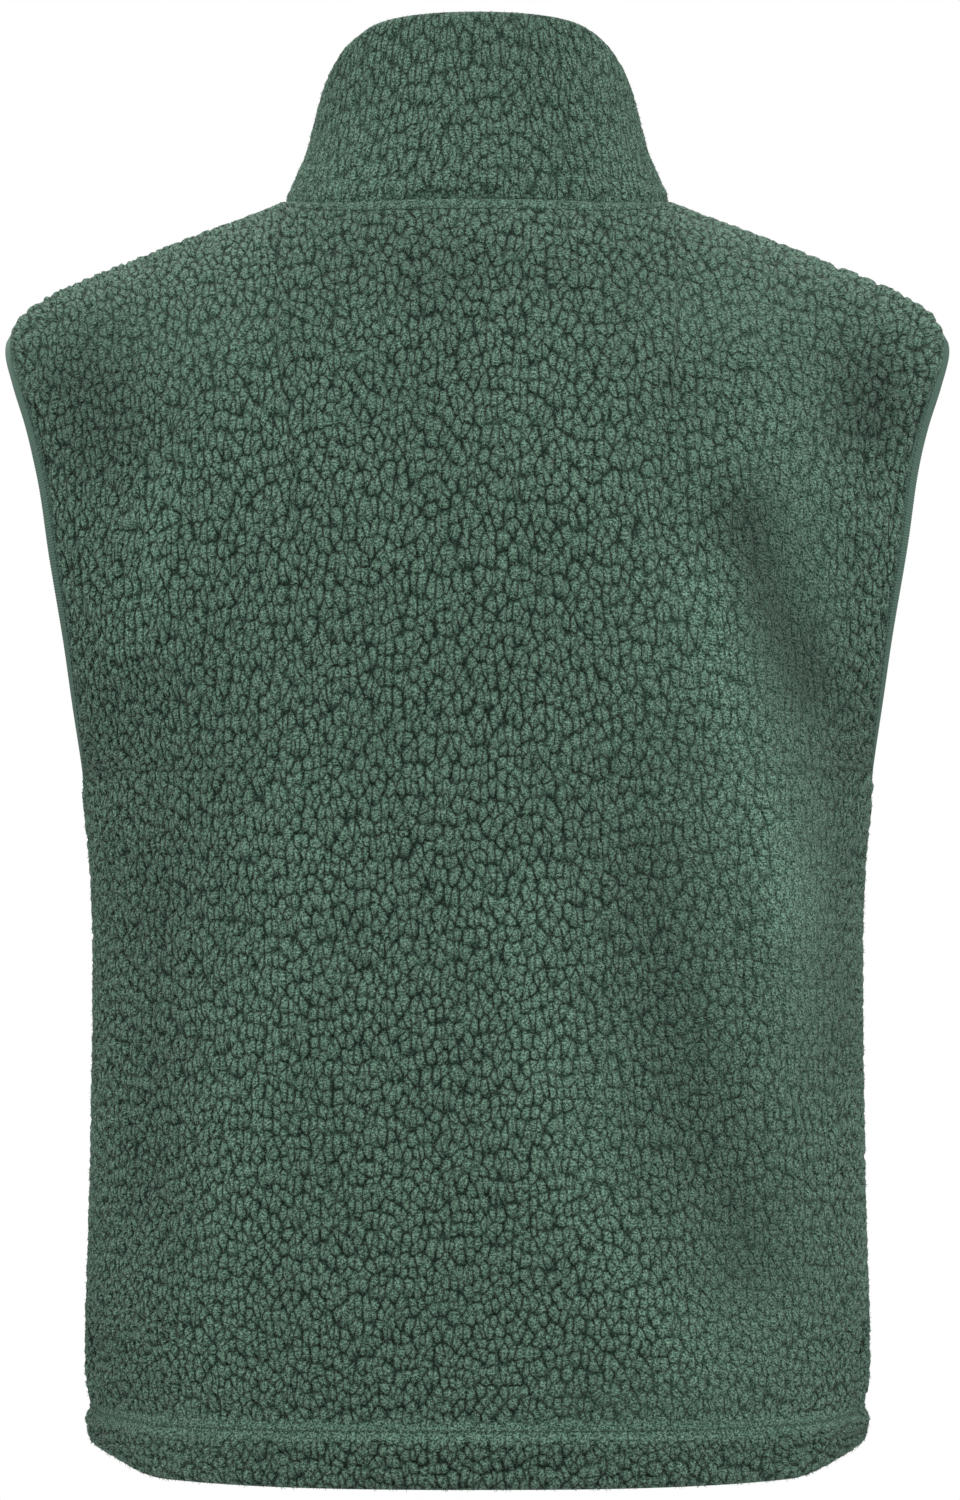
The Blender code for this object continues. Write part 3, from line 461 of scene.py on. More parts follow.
def fleece_material():
    """The pile: tones by clump, painted highlight on their crowns and painted shade in the grooves between
    them, grain, and painted light and shade along folds and seams.
    """
    made, g, shader = new_material("fleece")
    at, nap_and_painted_light, clump = attribute(g), attribute(g, "nap_and_painted_light"), attribute(g, "clump")
    split = g.node("ShaderNodeSeparateXYZ", {0: nap_and_painted_light})
    border, dome, strength = pile(g, clump, nap_and_painted_light)
    # Painted shade: the grooves between clumps are darkened, nearly black at their floors and dimmer a
    # little way up their sides.
    crack_shade = g.math("MULTIPLY", g.spread(border, 0.0, 0.085, 1.0, 0.0), strength)
    shade = g.math("MULTIPLY", g.spread(border, 0.02, 0.28, 1.0, 0.0), strength)
    grain, tuft = g.noise(at, 1.1, 1.0, 0.95), g.noise(at, 1.1, 2.0, 0.6)
    tone = g.colours(g.spread(tuft, 0.36, 0.62), FLEECE_LOW, FLEECE_MID)
    # Painted highlight: each clump's crown is made lighter than its sides.
    tone = g.colours(g.spread(dome, 0.0, 0.9), tone, FLEECE_PAINTED_HIGHLIGHT)
    tone = g.colours(g.math("MULTIPLY", split.outputs[0], 0.42), tone, FLEECE_SOFT)
    tone = g.colours(g.spread(g.noise(at, 60.0, 2.0), 0.35, 0.65, 0.0, 0.18), tone, FLEECE_LOW)
    tone = g.colours(g.math("MULTIPLY", shade, 0.33), tone, FLEECE_SHADE)
    tone = g.colours(g.math("MULTIPLY", crack_shade, 0.88), tone, FLEECE_CRACK_SHADE)
    speck = g.colours(g.spread(grain, 0.34, 0.66), SPECK_DARK, SPECK_LIGHT)
    tone = g.colours(1.0, tone, speck, "MULTIPLY")
    # Painted light and shade: the third channel brightens or darkens the whole tone.
    painted_light_lift = g.spread(split.outputs[2], -1.0, 1.0, 0.50, 1.50, "LINEAR")
    painted_light_lift = g.node("ShaderNodeCombineXYZ", {0: painted_light_lift, 1: painted_light_lift, 2: painted_light_lift}).outputs[0]
    tone = g.vector("MULTIPLY", tone, painted_light_lift)
    paint(g, shader, tone, grain, 0.85, 1.0)
    bumps = g.math("MULTIPLY", clump_height(g, border, dome, strength), 1.5)
    bumps = g.math("ADD", bumps, g.math("MULTIPLY", grain, 0.8))
    bumps = g.math("ADD", bumps, g.math("MULTIPLY", tuft, 0.6))
    finish_cloth(g, shader, bumps, 1.0, 1.5, 0.12)
    return made


def fuzz_material():
    """Loose fibre ends of the pile, painted paler than its mass for the light that shows through them at
    the outline.
    """
    made, g, shader = new_material("fleece_fuzz")
    at = attribute(g)
    fine = g.noise(at, 2.3, 2.0, 0.7)
    # Painted light: the fibres are made paler and greyer than the pile, like backlit fibres.
    tone = g.colours(g.spread(fine, 0.34, 0.66), (0.090, 0.142, 0.110), (0.200, 0.255, 0.222))
    paint(g, shader, tone, fine, 0.85, 1.0)
    finish_cloth(g, shader, fine, 0.3, 0.1, 0.25)
    return made


def rib_material(name, low, high, pitch, across):
    """Fine ribbed knit or weave: ribs run along X or Y of the cloth's own places."""
    made, g, shader = new_material(name)
    at = attribute(g)
    wave = g.wave(g.vector("DIVIDE", at, (pitch, pitch, 1)), "X" if across else "DIAGONAL")
    fuzz = g.noise(at, 0.9, 2.0, 0.7)
    tone = g.colours(g.spread(fuzz, 0.3, 0.7), low, high)
    # Painted shade: the grooves between ribs are darkened toward a third of the low tone.
    groove_shade = g.math("MULTIPLY", g.math("SUBTRACT", 1.0, wave), 0.55)
    tone = g.colours(groove_shade, tone, tuple(x * 0.35 for x in low))
    paint(g, shader, tone, fuzz, 0.72, 0.92)
    height = g.math("ADD", wave, g.math("MULTIPLY", fuzz, 0.5))
    finish_cloth(g, shader, height, 0.7, 0.25, 0.2)
    return made


def knit_material():
    """The fleece's plain inside, a fine knit with faint courses."""
    made, g, shader = new_material("knit_backing")
    at = attribute(g)
    loops = g.wave(g.vector("DIVIDE", at, (1.6, 9.0, 1)), "X")
    fuzz = g.noise(at, 1.2, 3.0, 0.7)
    tone = g.colours(g.spread(fuzz, 0.3, 0.7), (0.036, 0.078, 0.054), (0.074, 0.132, 0.099))
    tone = g.colours(g.math("MULTIPLY", loops, 0.3), tone, (0.028, 0.062, 0.043))
    paint(g, shader, tone, fuzz, 0.85, 0.98)
    finish_cloth(g, shader, g.math("ADD", g.math("MULTIPLY", loops, 0.5), fuzz), 0.5, 0.3, 0.2)
    return made


def plain_material(name, low, high, rough, size, metallic=0.0, depth=0.06):
    """A fine uneven tone and surface, for the small hard pieces, the thread and the floor."""
    made, g, shader = new_material(name)
    at = g.vector("MULTIPLY", g.node("ShaderNodeTexCoord").outputs["Object"], (1000, 1000, 1000))
    fine = g.noise(at, size, 3.0, 0.6)
    tone = g.colours(g.spread(fine, 0.3, 0.7), low, high)
    paint(g, shader, tone, fine, rough - 0.08, rough + 0.08)
    shader.inputs["Metallic"].default_value = metallic
    bump = g.node("ShaderNodeBump", {"Strength": 0.3, "Distance": depth * MM, "Height": fine})
    g.feed(shader.inputs["Normal"], bump.outputs[0])
    return made


# --- meshes ------------------------------------------------------------------------------------


class Mesh:
    """Points with their cloth places, nap and painted light, and clump places, and faces with a material
    number.
    """

    def __init__(self):
        self.stores = {"co": [], "cloth": [], "nap_and_painted_light": [], "clump": []}
        self.faces, self.kinds = [], []
        self.count = 0

    def add(self, points, cloth=0.0, nap_and_painted_light=0.0, clump=0.0):
        """Adds a block of points and returns their numbers in the same block."""
        shape = points.shape[:-1]
        for key, values in (("co", points), ("cloth", cloth), ("nap_and_painted_light", nap_and_painted_light), ("clump", clump)):
            self.stores[key].append(np.broadcast_to(values, shape + (3,)).reshape(-1, 3))
        first, self.count = self.count, self.count + int(np.prod(shape))
        return np.arange(first, self.count).reshape(shape)

    def cells(self, faces, kind=0):
        """Adds faces, all with the same count of corners."""
        faces = np.asarray(faces)
        faces = faces.reshape(-1, faces.shape[-1])
        self.faces.append(faces)
        self.kinds.append(np.full(len(faces), kind))

    def grid(self, ids, kind=0, closed=False):
        """Quads over the last two axes of a block of points, closed round the last if asked."""
        if closed:
            ids = np.concatenate([ids, ids[..., :1]], -1)
        corners = (ids[..., :-1, :-1], ids[..., :-1, 1:], ids[..., 1:, 1:], ids[..., 1:, :-1])
        self.cells(np.stack(corners, -1), kind)

    def cap(self, ring, kind=0):
        """A fan over each closed ring of points."""
        first = np.broadcast_to(ring[..., :1], ring[..., 1:-1].shape)
        self.cells(np.stack([first, ring[..., 1:-1], ring[..., 2:]], -1), kind)

    def tube(self, rings, cloth=0.0):
        """Closed tubes through rings of points, capped at both ends."""
        ids = self.add(rings, cloth)
        self.grid(ids, closed=True)
        self.cap(ids[..., 0, :])
        self.cap(ids[..., -1, :])

    def zip(self, first, second, kind=0):
        """Triangles between two runs of points with different counts, end to end."""
        n, m = len(first) - 1, len(second) - 1
        i = j = 0
        made = []
        while i < n or j < m:
            if j == m or (i < n and (i + 1) * m <= (j + 1) * n):
                made.append((first[i], first[i + 1], second[j]))
                i += 1
            else:
                made.append((first[i], second[j + 1], second[j]))
                j += 1
        self.cells(np.array(made), kind)

    def build(self, name, materials, sharp=False):
        """The object, with its faces turned outward and smooth apart from sharp edges if asked."""
        mesh = bpy.data.meshes.new(name)
        mesh.vertices.add(self.count)
        points = np.concatenate(self.stores["co"]) * MM
        mesh.vertices.foreach_set("co", points.astype(np.float32).ravel())
        loops = np.concatenate([f.ravel() for f in self.faces])
        sizes = np.concatenate([np.full(len(f), f.shape[1]) for f in self.faces])
        mesh.loops.add(len(loops))
        mesh.loops.foreach_set("vertex_index", loops.astype(np.int32))
        mesh.polygons.add(len(sizes))
        starts = np.concatenate([[0], np.cumsum(sizes)[:-1]])
        mesh.polygons.foreach_set("loop_start", starts.astype(np.int32))
        for made in materials:
            mesh.materials.append(made)
        mesh.polygons.foreach_set("material_index", np.concatenate(self.kinds).astype(np.int32))
        for key in ("cloth", "nap_and_painted_light", "clump"):
            values = np.concatenate(self.stores[key]).astype(np.float32)
            made = mesh.attributes.new(key, "FLOAT_VECTOR", "POINT")
            made.data.foreach_set("vector", values.ravel())
        mesh.update()
        mesh.validate()
        tidy = bmesh.new()
        tidy.from_mesh(mesh)
        bmesh.ops.recalc_face_normals(tidy, faces=tidy.faces)
        tidy.to_mesh(mesh)
        tidy.free()
        mesh.polygons.foreach_set("use_smooth", np.full(len(mesh.polygons), True))
        if sharp:
            mesh.set_sharp_from_angle(angle=0.6)
        obj = bpy.data.objects.new(name, mesh)
        bpy.context.scene.collection.objects.link(obj)
        return obj


# --- fleece panels -------------------------------------------------------------------------------

# Rise of the cloth over the hem's edge, and below a seam at the top: (distance, rise).
HEM_RISE = (
    (0, 1.0), (2, 1.3), (4.5, 1.6), (12, 1.8), (20, 1.4), (23, 0.2), (25, -1.5), (28, -1.5),
    (33, -1.2), (36, -0.6), (40, 0.0), (60, 0.0),
)
SEAM_RISE = (
    (0, -3.2), (0.8, -2.2), (1.8, -0.2), (4.0, 0.1), (6.2, -0.2), (7.0, -1.2), (8.2, -0.6),
    (11, 0.0), (30, 0.0),
)
HEM_ROUND, HEM_BAND, HEM_STITCH = 6.0, 27.0, 26.0
NECK_STITCH = 7.0  # below the collar's seam
SHOULDER_GROOVE, SIDE_GROOVE = (-2.0, 2.2), (-1.0, 1.3)  # rise at a seam, and its half width
BOUND_WIDTH, BOUND_SINK, BOUND_PUFF = 9.6, 2.2, 1.9  # under the binding, and beside it at the shoulder
# How far the pile lies pressed: about the hem's stitches, below the collar, beside the binding.
PRESSED_HEM, PRESSED_NECK, PRESSED_BOUND = 5.2, 8.5, 10.6
# How much painted shade darkens the pile in the collar's seam, along its stitches, beside the binding's
# seam and in the side seam.
NECK_SHADE, STITCH_SHADE, BOUND_SHADE, SIDE_SHADE = 0.9, 0.35, 0.6, 0.8
ZIP_THIN = ((0, 1.4, 4.5, 14), (0.35, 0.75, 1.0, 1.0))  # share of the wall left beside the zip
BESIDE = 99.0  # stands for any length too long to matter
INSIDE_STEP = 4  # the plain inside has every fourth point of the outside
# Where each piece's places on the cloth start, so that no two look alike.
FRONT_PLACES, COLLAR_PLACES, TURNED_CLUMPS = 1500, 3000, 60.0
HEM_CORNER = (2.5, 7.0)  # inward and upward, at the side seams' lower ends
CORNER_START, CORNER_SPREAD, CORNER_TALL = 146.0, 38.0, 36.0  # where that lift begins and ends
PILE_RELIEF, ROUGHNESS = 2.2, 0.10  # height of the clumps, and spread of the fine unevenness
PILE_LEVEL = 0.8  # the share of a clump's height that lies below the cloth's face
PLUMP_HEM, PLUMP_SHOULDER = 0.3, 0.75  # how much taller the clumps are at the hem and shoulder
SOFT_FLATTER, PRESSED_FLATTER = 0.62, 0.88  # how much lower they are in soft and in pressed pile
BOUND_THIN, BAND_PUFF = 1.4, 0.7  # the wall's thinning under the binding, thickening at the band
ZIP_OUTER = 0.6  # share of the thinning beside the zip that is taken from outside
BAND_EDGE = (25.8, 27.2)  # the inside's pressed strip at the hem band's top
# Height of a clump at heights over the hem, and its width from the wearer's right to left.
CLUMP_TALL = ((0, 5.0), (60, 5.6), (160, 6.5), (330, 7.1), (600, 7.3))
CLUMP_WIDE = ((-300, 4.4), (-160, 4.3), (-60, 3.8), (60, 3.5), (300, 3.4))
# Where the pile is brushed soft: (x, height, half width, half height, how soft).
SOFT_BACK = (
    (-142, -190, 30, 110, 0.9), (-150, -330, 26, 120, 0.8), (-128, -500, 44, 70, 0.6),
    (-60, -420, 26, 60, 0.35), (-100, -560, 60, 26, 0.5), (150, -70, 60, 26, 0.3),
    (-120, -60, 70, 26, 0.45), (140, -575, 40, 20, 0.4), (-120, -320, 60, 300, 0.42),
)
SOFT_FRONT = (
    (120, -200, 30, 100, 0.8), (-130, -300, 30, 120, 0.7), (90, -520, 50, 50, 0.5),
    (-60, -120, 40, 60, 0.4),
)
# Painted light and shade, in sweeps along the folds, shoulders and hem: path as (x, height), half width,
# how light.
PAINTED_LIGHT_BACK = (
    (((182, -92), (174, -110)), 26, -0.70),
    (((-184, -88), (-182, -104)), 22, -0.90),
    (((-122, -152), (-134, -190), (-152, -226)), 17, -0.95),
    (((-104, -190), (-118, -250), (-130, -290), (-142, -330)), 15, 0.60),
    (((-168, -250), (-168, -400)), 14, -0.35),
    (((-76, -310), (-87, -373), (-104, -430), (-124, -490)), 22, -0.50),
    (((-19, -327), (-33, -418), (-65, -500), (-102, -538)), 19, 0.38),
    (((144, -140), (150, -170), (158, -204)), 13, 0.42),
    (((26, -40), (18, -100)), 28, -0.20),
    (((60, -36), (-80, -44)), 15, -0.24),
    (((-64, -76), (-104, -96)), 20, -0.20),
    (((148, -300), (150, -464)), 17, -0.30),
    (((158, -480), (160, -560)), 24, -0.12),
    (((81, -282), (100, -400), (126, -536)), 20, 0.30),
    (((-178, -568), (178, -568)), 5, 0.30),
    (((-178, -577), (178, -577)), 7, -0.25),
)
PAINTED_LIGHT_FRONT = (
    (((150, -110), (128, -170), (120, -230)), 22, -0.30),
    (((-148, -104), (-132, -160), (-118, -226)), 22, -0.30),
    (((172, -140), (160, -220), (140, -300)), 18, 0.22),
    (((-174, -150), (-156, -232), (-138, -310)), 18, 0.22),
    (((96, -330), (112, -420), (100, -520)), 22, -0.22),
    (((-84, -300), (-106, -400), (-98, -500)), 22, -0.22),
    (((60, -380), (70, -470), (58, -540)), 18, 0.16),
    (((-64, -420), (-58, -500), (-66, -550)), 18, 0.16),
    (((-178, -568), (178, -568)), 5, 0.24),
    (((-178, -577), (178, -577)), 7, -0.20),
)


def chart_lines(face):
    """Arc lengths up each of many lines of the panel's chart."""
    sides, dense = np.linspace(0, 1, 181), np.linspace(0, 2, 401)
    a, u = np.meshgrid(sides, dense, indexing="ij")
    return sides, dense, along(body(face, a, u))


def level_length(face, across, p):
    """Length across the cloth from the vest's middle to each point, at the point's own level."""
    half, angle = section_edge(face, p[..., 2])
    psi = across * angle * np.linspace(0, 1, 33)[:, None, None]
    near, far = (table(DEPTH, p[..., 2], column) for column in ((1, 2) if face == BACK else (2, 1)))
    deep = np.where(np.cos(psi) > 0, near, -far)
    deep = deep * np.clip(1 - np.abs(np.sin(psi)) ** SECTION_POWER, 0, 1) ** 0.5
    # The shoulder's slope leaves less of the depth.
    left = np.clip((np.abs(p[..., 1]) + 1) / (np.abs(deep[-1]) + 1), 0, 1)
    return np.hypot(np.diff(half * np.sin(psi), axis=0), np.diff(deep, axis=0) * left).sum(0)


def bilinear(values, a, u):
    """A value of the lines above at chart places."""
    rows, columns = values.shape
    i = np.clip((a * (rows - 1)).astype(int), 0, rows - 2)
    j = np.clip((u / 2 * (columns - 1)).astype(int), 0, columns - 2)
    s, t = a * (rows - 1) - i, u / 2 * (columns - 1) - j
    return (
        values[i, j] * (1 - s) * (1 - t) + values[i + 1, j] * s * (1 - t)
        + values[i, j + 1] * (1 - s) * t + values[i + 1, j + 1] * s * t
    )


ARMHOLE_ROWS, ARMHOLE_CROWD = 0.92, 0.35  # rows beside the armhole: their share, and how they crowd


def half_chart(face, across_step, up_step):
    """Chart places of a dense half panel, its hem rows' count, and that of those below the armhole."""
    sides, dense, up_lengths = chart_lines(face)
    middle = (len(dense) - 1) // 2
    under, top = up_lengths[:, middle], up_lengths[:, -1] - GAP / 2
    low = np.concatenate([np.arange(1, int(HEM_BAND / up_step)) * up_step, [HEM_BAND]])
    edge = along(body(face, np.ones(len(dense)), dense))[middle:]
    armhole_rows = int((edge[-1] - edge[0]) / up_step * ARMHOLE_ROWS)
    side_share = np.linspace(0, 1, int((under.mean() - HEM_BAND) / up_step) + 1)[1:]
    power = 1 + ARMHOLE_CROWD * soft((sides - 0.55) / 0.45)
    share = np.linspace(0, 1, armhole_rows + 1)[1:]
    targets = np.concatenate(
        [
            np.broadcast_to(low, (len(sides), len(low))),
            HEM_BAND + side_share[None, :] * (under[:, None] - HEM_BAND),
            under[:, None] + (top - under)[:, None] * share[None, :] ** power[:, None],
        ],
        axis=1,
    )
    ups = np.array([np.interp(t, length, dense) for t, length in zip(targets, up_lengths)])
    # Each row, from the middle or the zip to the side, and then its evenly spaced points.
    tau = np.linspace(0, 1, 161)
    rows = ups.shape[1]
    half, angle = section_edge(face, body(face, np.full(rows, 0.05), ups[3])[:, 2])
    first = np.arcsin((ZIP_EDGE if face == FRONT else 0.0) / half) / angle
    across = first[:, None] + tau[None, :] * (1 - first[:, None])
    up = np.array([np.interp(a, sides, ups[:, k]) for k, a in enumerate(across)])
    length = along(body(face, across, up))
    columns = int(length[: len(low) + 4].mean(0)[-1] / across_step) // 4 * 4 + 5
    chart = np.zeros((rows, columns, 2))
    for k in range(rows):
        at = np.interp(np.linspace(0, length[k, -1] - GAP / 2, columns), length[k], tau)
        chart[k, :, 0] = np.interp(at, tau, across[k])
        chart[k, :, 1] = np.interp(at, tau, up[k])
    return chart, len(low), len(low) + len(side_share) - 1


def sample_rows(grid, heights, at):
    """Rows of a grid at other heights over the hem, by straight lines between rows."""
    i = np.clip(np.searchsorted(heights, at) - 1, 0, len(heights) - 2)
    t = ((at - heights[i]) / (heights[i + 1] - heights[i]))[:, None, None]
    return grid[i] * (1 - t) + grid[i + 1] * t


def half_fields(face, base, a, u, corner):
    """Lengths that the panel's finish goes by, in order: up from the hem, below the top, from the
    armhole, from the side seam, from the middle or zip, and across from the middle."""
    _, _, up_lengths = chart_lines(face)
    up_length = bilinear(up_lengths, a, u)
    below_top = bilinear(up_lengths, a, np.full(a.shape, 2.0)) - up_length
    near = (base[..., 2] > UNDERARM - 40) & (base[..., 0] > 100)
    from_armhole = np.full(a.shape, BESIDE)
    from_armhole[near] = distance_to(base[near], base[corner:, -1])
    row_length = along(base)
    from_side = row_length[:, -1:] - row_length
    from_side[corner + 1 :] = BESIDE
    across = level_length(face, a, base)
    return np.stack([up_length, below_top, from_armhole, from_side, row_length, across], -1)


def hem_turn(heights):
    """Rows of the turned-up hem: heights from the band's top down round the fold and up again,
    and the side of the cloth, -1 inside to 1 outside."""
    fold = np.linspace(np.pi, 0, 9)[1:-1]
    band = heights[heights > HEM_ROUND][::-1]
    round_heights = HEM_ROUND * (1 - np.sin(fold))
    at = np.concatenate([band, [HEM_ROUND], round_heights, [HEM_ROUND], band[::-1]])
    ends = np.ones(len(band) + 1)
    return at, np.concatenate([-ends, np.cos(fold), ends])


def clump_places(across, up):
    """Places counted in clumps, from lengths across and up the cloth."""
    levels, places = np.linspace(0, 700, 701), np.linspace(-350, 350, 701)
    rows, columns = np.cumsum(1 / table(CLUMP_TALL, levels)), np.cumsum(1 / table(CLUMP_WIDE, places))
    row = np.interp(up, levels, rows) + 0.6 * np.sin(across / 40)
    return np.stack([np.interp(across, places, columns), row, 0 * up], -1)


def panel_rise(face, x, fields, tip):
    """Rise of the cloth's outer face over the body, with its seams, hem and bound edge."""
    up_length, below_top, from_armhole, from_side, row_length, _ = np.moveaxis(fields, -1, 0)
    beside_neck = soft(1.6 - np.abs(x) / NECK_HALF_WIDTH)
    beyond_neck = soft((np.abs(x) - 86) / 14)
    rise = table(HEM_RISE, np.maximum(up_length, 0)) + table(SEAM_RISE, below_top) * beside_neck
    rise += SHOULDER_GROOVE[0] * beyond_neck * bell(below_top / SHOULDER_GROOVE[1])
    rise += SIDE_GROOVE[0] * bell(from_side / SIDE_GROOVE[1])
    bound = soft((BOUND_WIDTH - from_armhole) / 1.6)
    over = BOUND_PUFF * tip * soft((from_armhole - 4.6) / 2.0)
    rise = rise * (1 - bound) + (over - BOUND_SINK) * bound
    if face == FRONT:
        rise -= (1 - np.interp(row_length, *ZIP_THIN)) * ZIP_OUTER * WALL
    return rise


def over_fold(turn, outside, inside):
    """Offset of a face that runs over a fold, from its offsets on the fold's two sides."""
    middle, half = (outside + inside) / 2, (outside - inside) / 2
    return np.where(np.abs(turn) < 1, middle + half * turn, np.where(turn < 0, inside, outside))


def sparse(start, end):
    """Every few numbers from start, and the last before end."""
    return np.unique(np.append(np.arange(start, end, INSIDE_STEP), end - 1))


def panel_form(face, side):
    """A panel's folded form before its hem is turned up: points, outward directions, the lengths
    that its finish goes by, and how many rows the hem has."""
    step = FRONT_STEP if face == FRONT else 1.0
    chart, low_count, corner = half_chart(face, STEP_ACROSS * step, STEP_UP * step)
    base = body(face, chart[..., 0], chart[..., 1])
    fields = half_fields(face, base, chart[..., 0], chart[..., 1], corner)
    if side == 0:
        mirrored = fields[:, :0:-1] * (1, 1, 1, 1, 1, -1)
        base = np.concatenate([base[:, :0:-1] * (-1, 1, 1), base], axis=1)
        fields = np.concatenate([mirrored, fields], axis=1)
    else:
        base = base * (side, 1, 1)
        fields = fields * (1, 1, 1, 1, 1, side)
    outward = base - VEST_MIDDLE
    base = base + grid_normals(base, outward) * all_folds(face, base)[..., None]
    corner_lift = soft((np.abs(base[..., 0]) - CORNER_START) / CORNER_SPREAD)
    corner_lift *= soft(1 - fields[..., 0] / CORNER_TALL)
    base[..., 0] -= np.sign(base[..., 0]) * HEM_CORNER[0] * corner_lift
    base[..., 2] += HEM_CORNER[1] * corner_lift
    return base, grid_normals(base, outward), fields, low_count


def turn_hem(base, normal, fields, low_count):
    """The same rows with the lowest ones made again, from the band's top inside, round the fold,
    and up outside. Also each row's side of the cloth, and the count of the rows made again."""
    heights = fields[:low_count, :, 0].mean(1)
    at, turn = hem_turn(heights)
    stacked = np.concatenate([base, normal, fields], -1)
    low_edge = stacked[:1] + (stacked[:1] - stacked[1:2]) * heights[0] / (heights[1] - heights[0])
    every = np.concatenate([[0.0], heights])
    low = sample_rows(np.concatenate([low_edge, stacked[:low_count]]), every, at)
    full = np.concatenate([low, stacked[low_count:]])
    turn = np.concatenate([turn, np.ones(len(full) - len(turn))])[:, None]
    return full[..., :3], unit(full[..., 3:6]), full[..., 6:], turn, len(at)


def panel(name, face, side=0):
    """A whole fleece panel: the back over both sides, or one front."""
    base, normal, fields, turn, turned = turn_hem(*panel_form(face, side))
    up_length, from_armhole = np.maximum(fields[..., 0], 0), fields[..., 2]
    rise = panel_rise(face, base[..., 0], fields, soft((base[..., 2] + 118) / 44))
    inner = -WALL + BOUND_THIN * soft((10.4 - from_armhole) / 1.4)
    nap_and_painted_light = nap_and_painted_light_of(face, base, fields, turn)
    apart = 0 if face == BACK else FRONT_PLACES
    across = fields[..., 5]
    clump = clump_places(across, up_length)
    clump[..., 0] += apart + np.where(turn < 0, TURNED_CLUMPS, 0.0)
    places = np.stack([across + apart, np.where(turn < 0, -up_length, up_length), 0 * across], -1)
    shoulder = soft((40 - fields[..., 1]) / 30) * soft((np.abs(base[..., 0]) - 100) / 30)
    plump = 1 + PLUMP_HEM * soft((24 - up_length) / 6) + PLUMP_SHOULDER * shoulder
    strength = PILE_RELIEF * plump * (1 - SOFT_FLATTER * nap_and_painted_light[..., 0])
    strength = strength * (1 - PRESSED_FLATTER * nap_and_painted_light[..., 1])
    rough = np.random.default_rng(7).normal(0, ROUGHNESS, across.shape) * (1 - nap_and_painted_light[..., 1])
    bumps = (relief(clump, nap_and_painted_light) - PILE_LEVEL) * strength
    offset = over_fold(turn, rise + bumps + rough, inner - BAND_PUFF - bumps * 0.8 - rough)
    outer = base + normal * offset[..., None]

    mesh = Mesh()
    ids = mesh.add(outer, places, nap_and_painted_light, clump)
    mesh.grid(ids)
    start = turned - 1
    rows, columns = sparse(start, len(base)), sparse(0, base.shape[1])
    pick = np.ix_(rows, columns)
    inside = (base + normal * inner[..., None])[pick]
    inner_ids = mesh.add(inside, places[pick], nap_and_painted_light[pick], clump[pick])
    mesh.grid(inner_ids, 1)
    mesh.zip(inner_ids[0], ids[0], 1)
    mesh.zip(ids[-1], inner_ids[-1])
    apex = start // 2
    for column in (0, -1):
        inner_run = np.concatenate([ids[: apex + 1, column][::-1], inner_ids[:, column]])
        mesh.zip(ids[apex:, column], inner_run)
    stitch_row = int(np.argmin(np.abs(up_length[start // 2 :].mean(1) - HEM_STITCH))) + start // 2
    neck_column = base.shape[1] // 2 if side == 0 else 6
    neck_row = int(np.argmin(np.abs(fields[:, neck_column, 1] - NECK_STITCH)))
    return {
        "object": mesh.build(name, [FLEECE, KNIT]),
        "outer": outer[-1], "inner": inside[-1], "columns": columns, "base": base[-1],
        "skin": outer[apex:], "nap_and_painted_light": nap_and_painted_light[apex:], "smooth": base + normal * rise[..., None],
        "normal": normal, "rows": {"hem": stitch_row, "neck": neck_row},
    }


def nap_and_painted_light_of(face, p, fields, turn):
    """How soft and how pressed the pile is, and its painted light and shade, at each place."""
    up_length, below_top, from_armhole, from_side, _, _ = np.moveaxis(fields, -1, 0)
    smooth = np.zeros(up_length.shape)
    for x, z, wide, tall, how in SOFT_BACK if face == BACK else SOFT_FRONT:
        near = bell((p[..., 0] - x) / wide) * bell((p[..., 2] - z) / tall)
        smooth = np.maximum(smooth, how * near)
    light = fold_rise(p, PAINTED_LIGHT_BACK if face == BACK else PAINTED_LIGHT_FRONT)
    pressed = soft((PRESSED_HEM - np.abs(up_length - HEM_STITCH - 0.5)) / 2.0) * (turn > 0)
    neck_side = soft(1.6 - np.abs(p[..., 0]) / NECK_HALF_WIDTH)
    pressed = np.maximum(pressed, neck_side * soft((PRESSED_NECK - below_top) / 2.0))
    pressed = np.maximum(pressed, soft((PRESSED_BOUND - from_armhole) / 2.0) * 0.8)
    strip = (up_length > BAND_EDGE[0]) & (up_length < BAND_EDGE[1]) & (turn < 0)
    pressed = np.where(strip, 1.0, pressed)
    # Painted shade in the collar's seam, along its stitches, beside the binding and in the side seam.
    light -= NECK_SHADE * neck_side * soft((1.3 - below_top) / 0.8)
    light -= STITCH_SHADE * neck_side * bell((below_top - NECK_STITCH - 0.1) / 0.8)
    light -= BOUND_SHADE * bell((from_armhole - PRESSED_BOUND + 0.6) / 1.3)
    light -= SIDE_SHADE * soft((1.4 - from_side) / 1.0)
    return np.stack([smooth, pressed, np.clip(light, -1, 1)], -1)


# --- collar --------------------------------------------------------------------------------------

COLLAR_ROUND = 7.5  # length over which its fold turns
COLLAR_MOST = 88.0  # its longest height, seam to top
COLLAR_CLUMP = (3.5, 8.4)  # width and height of its clumps
COLLAR_PILE = 0.75  # their rise as a share of the panels'
COLLAR_UP, COLLAR_INSIDE_UP = 350, 550  # where its two faces' places start upward
COLLAR_SPACING = (0.97, 0.9)  # of its points, as shares of the panels'
SEAM_BLEND, SEAM_LIFT = 5.0, 0.4  # where it meets the panels' top edges


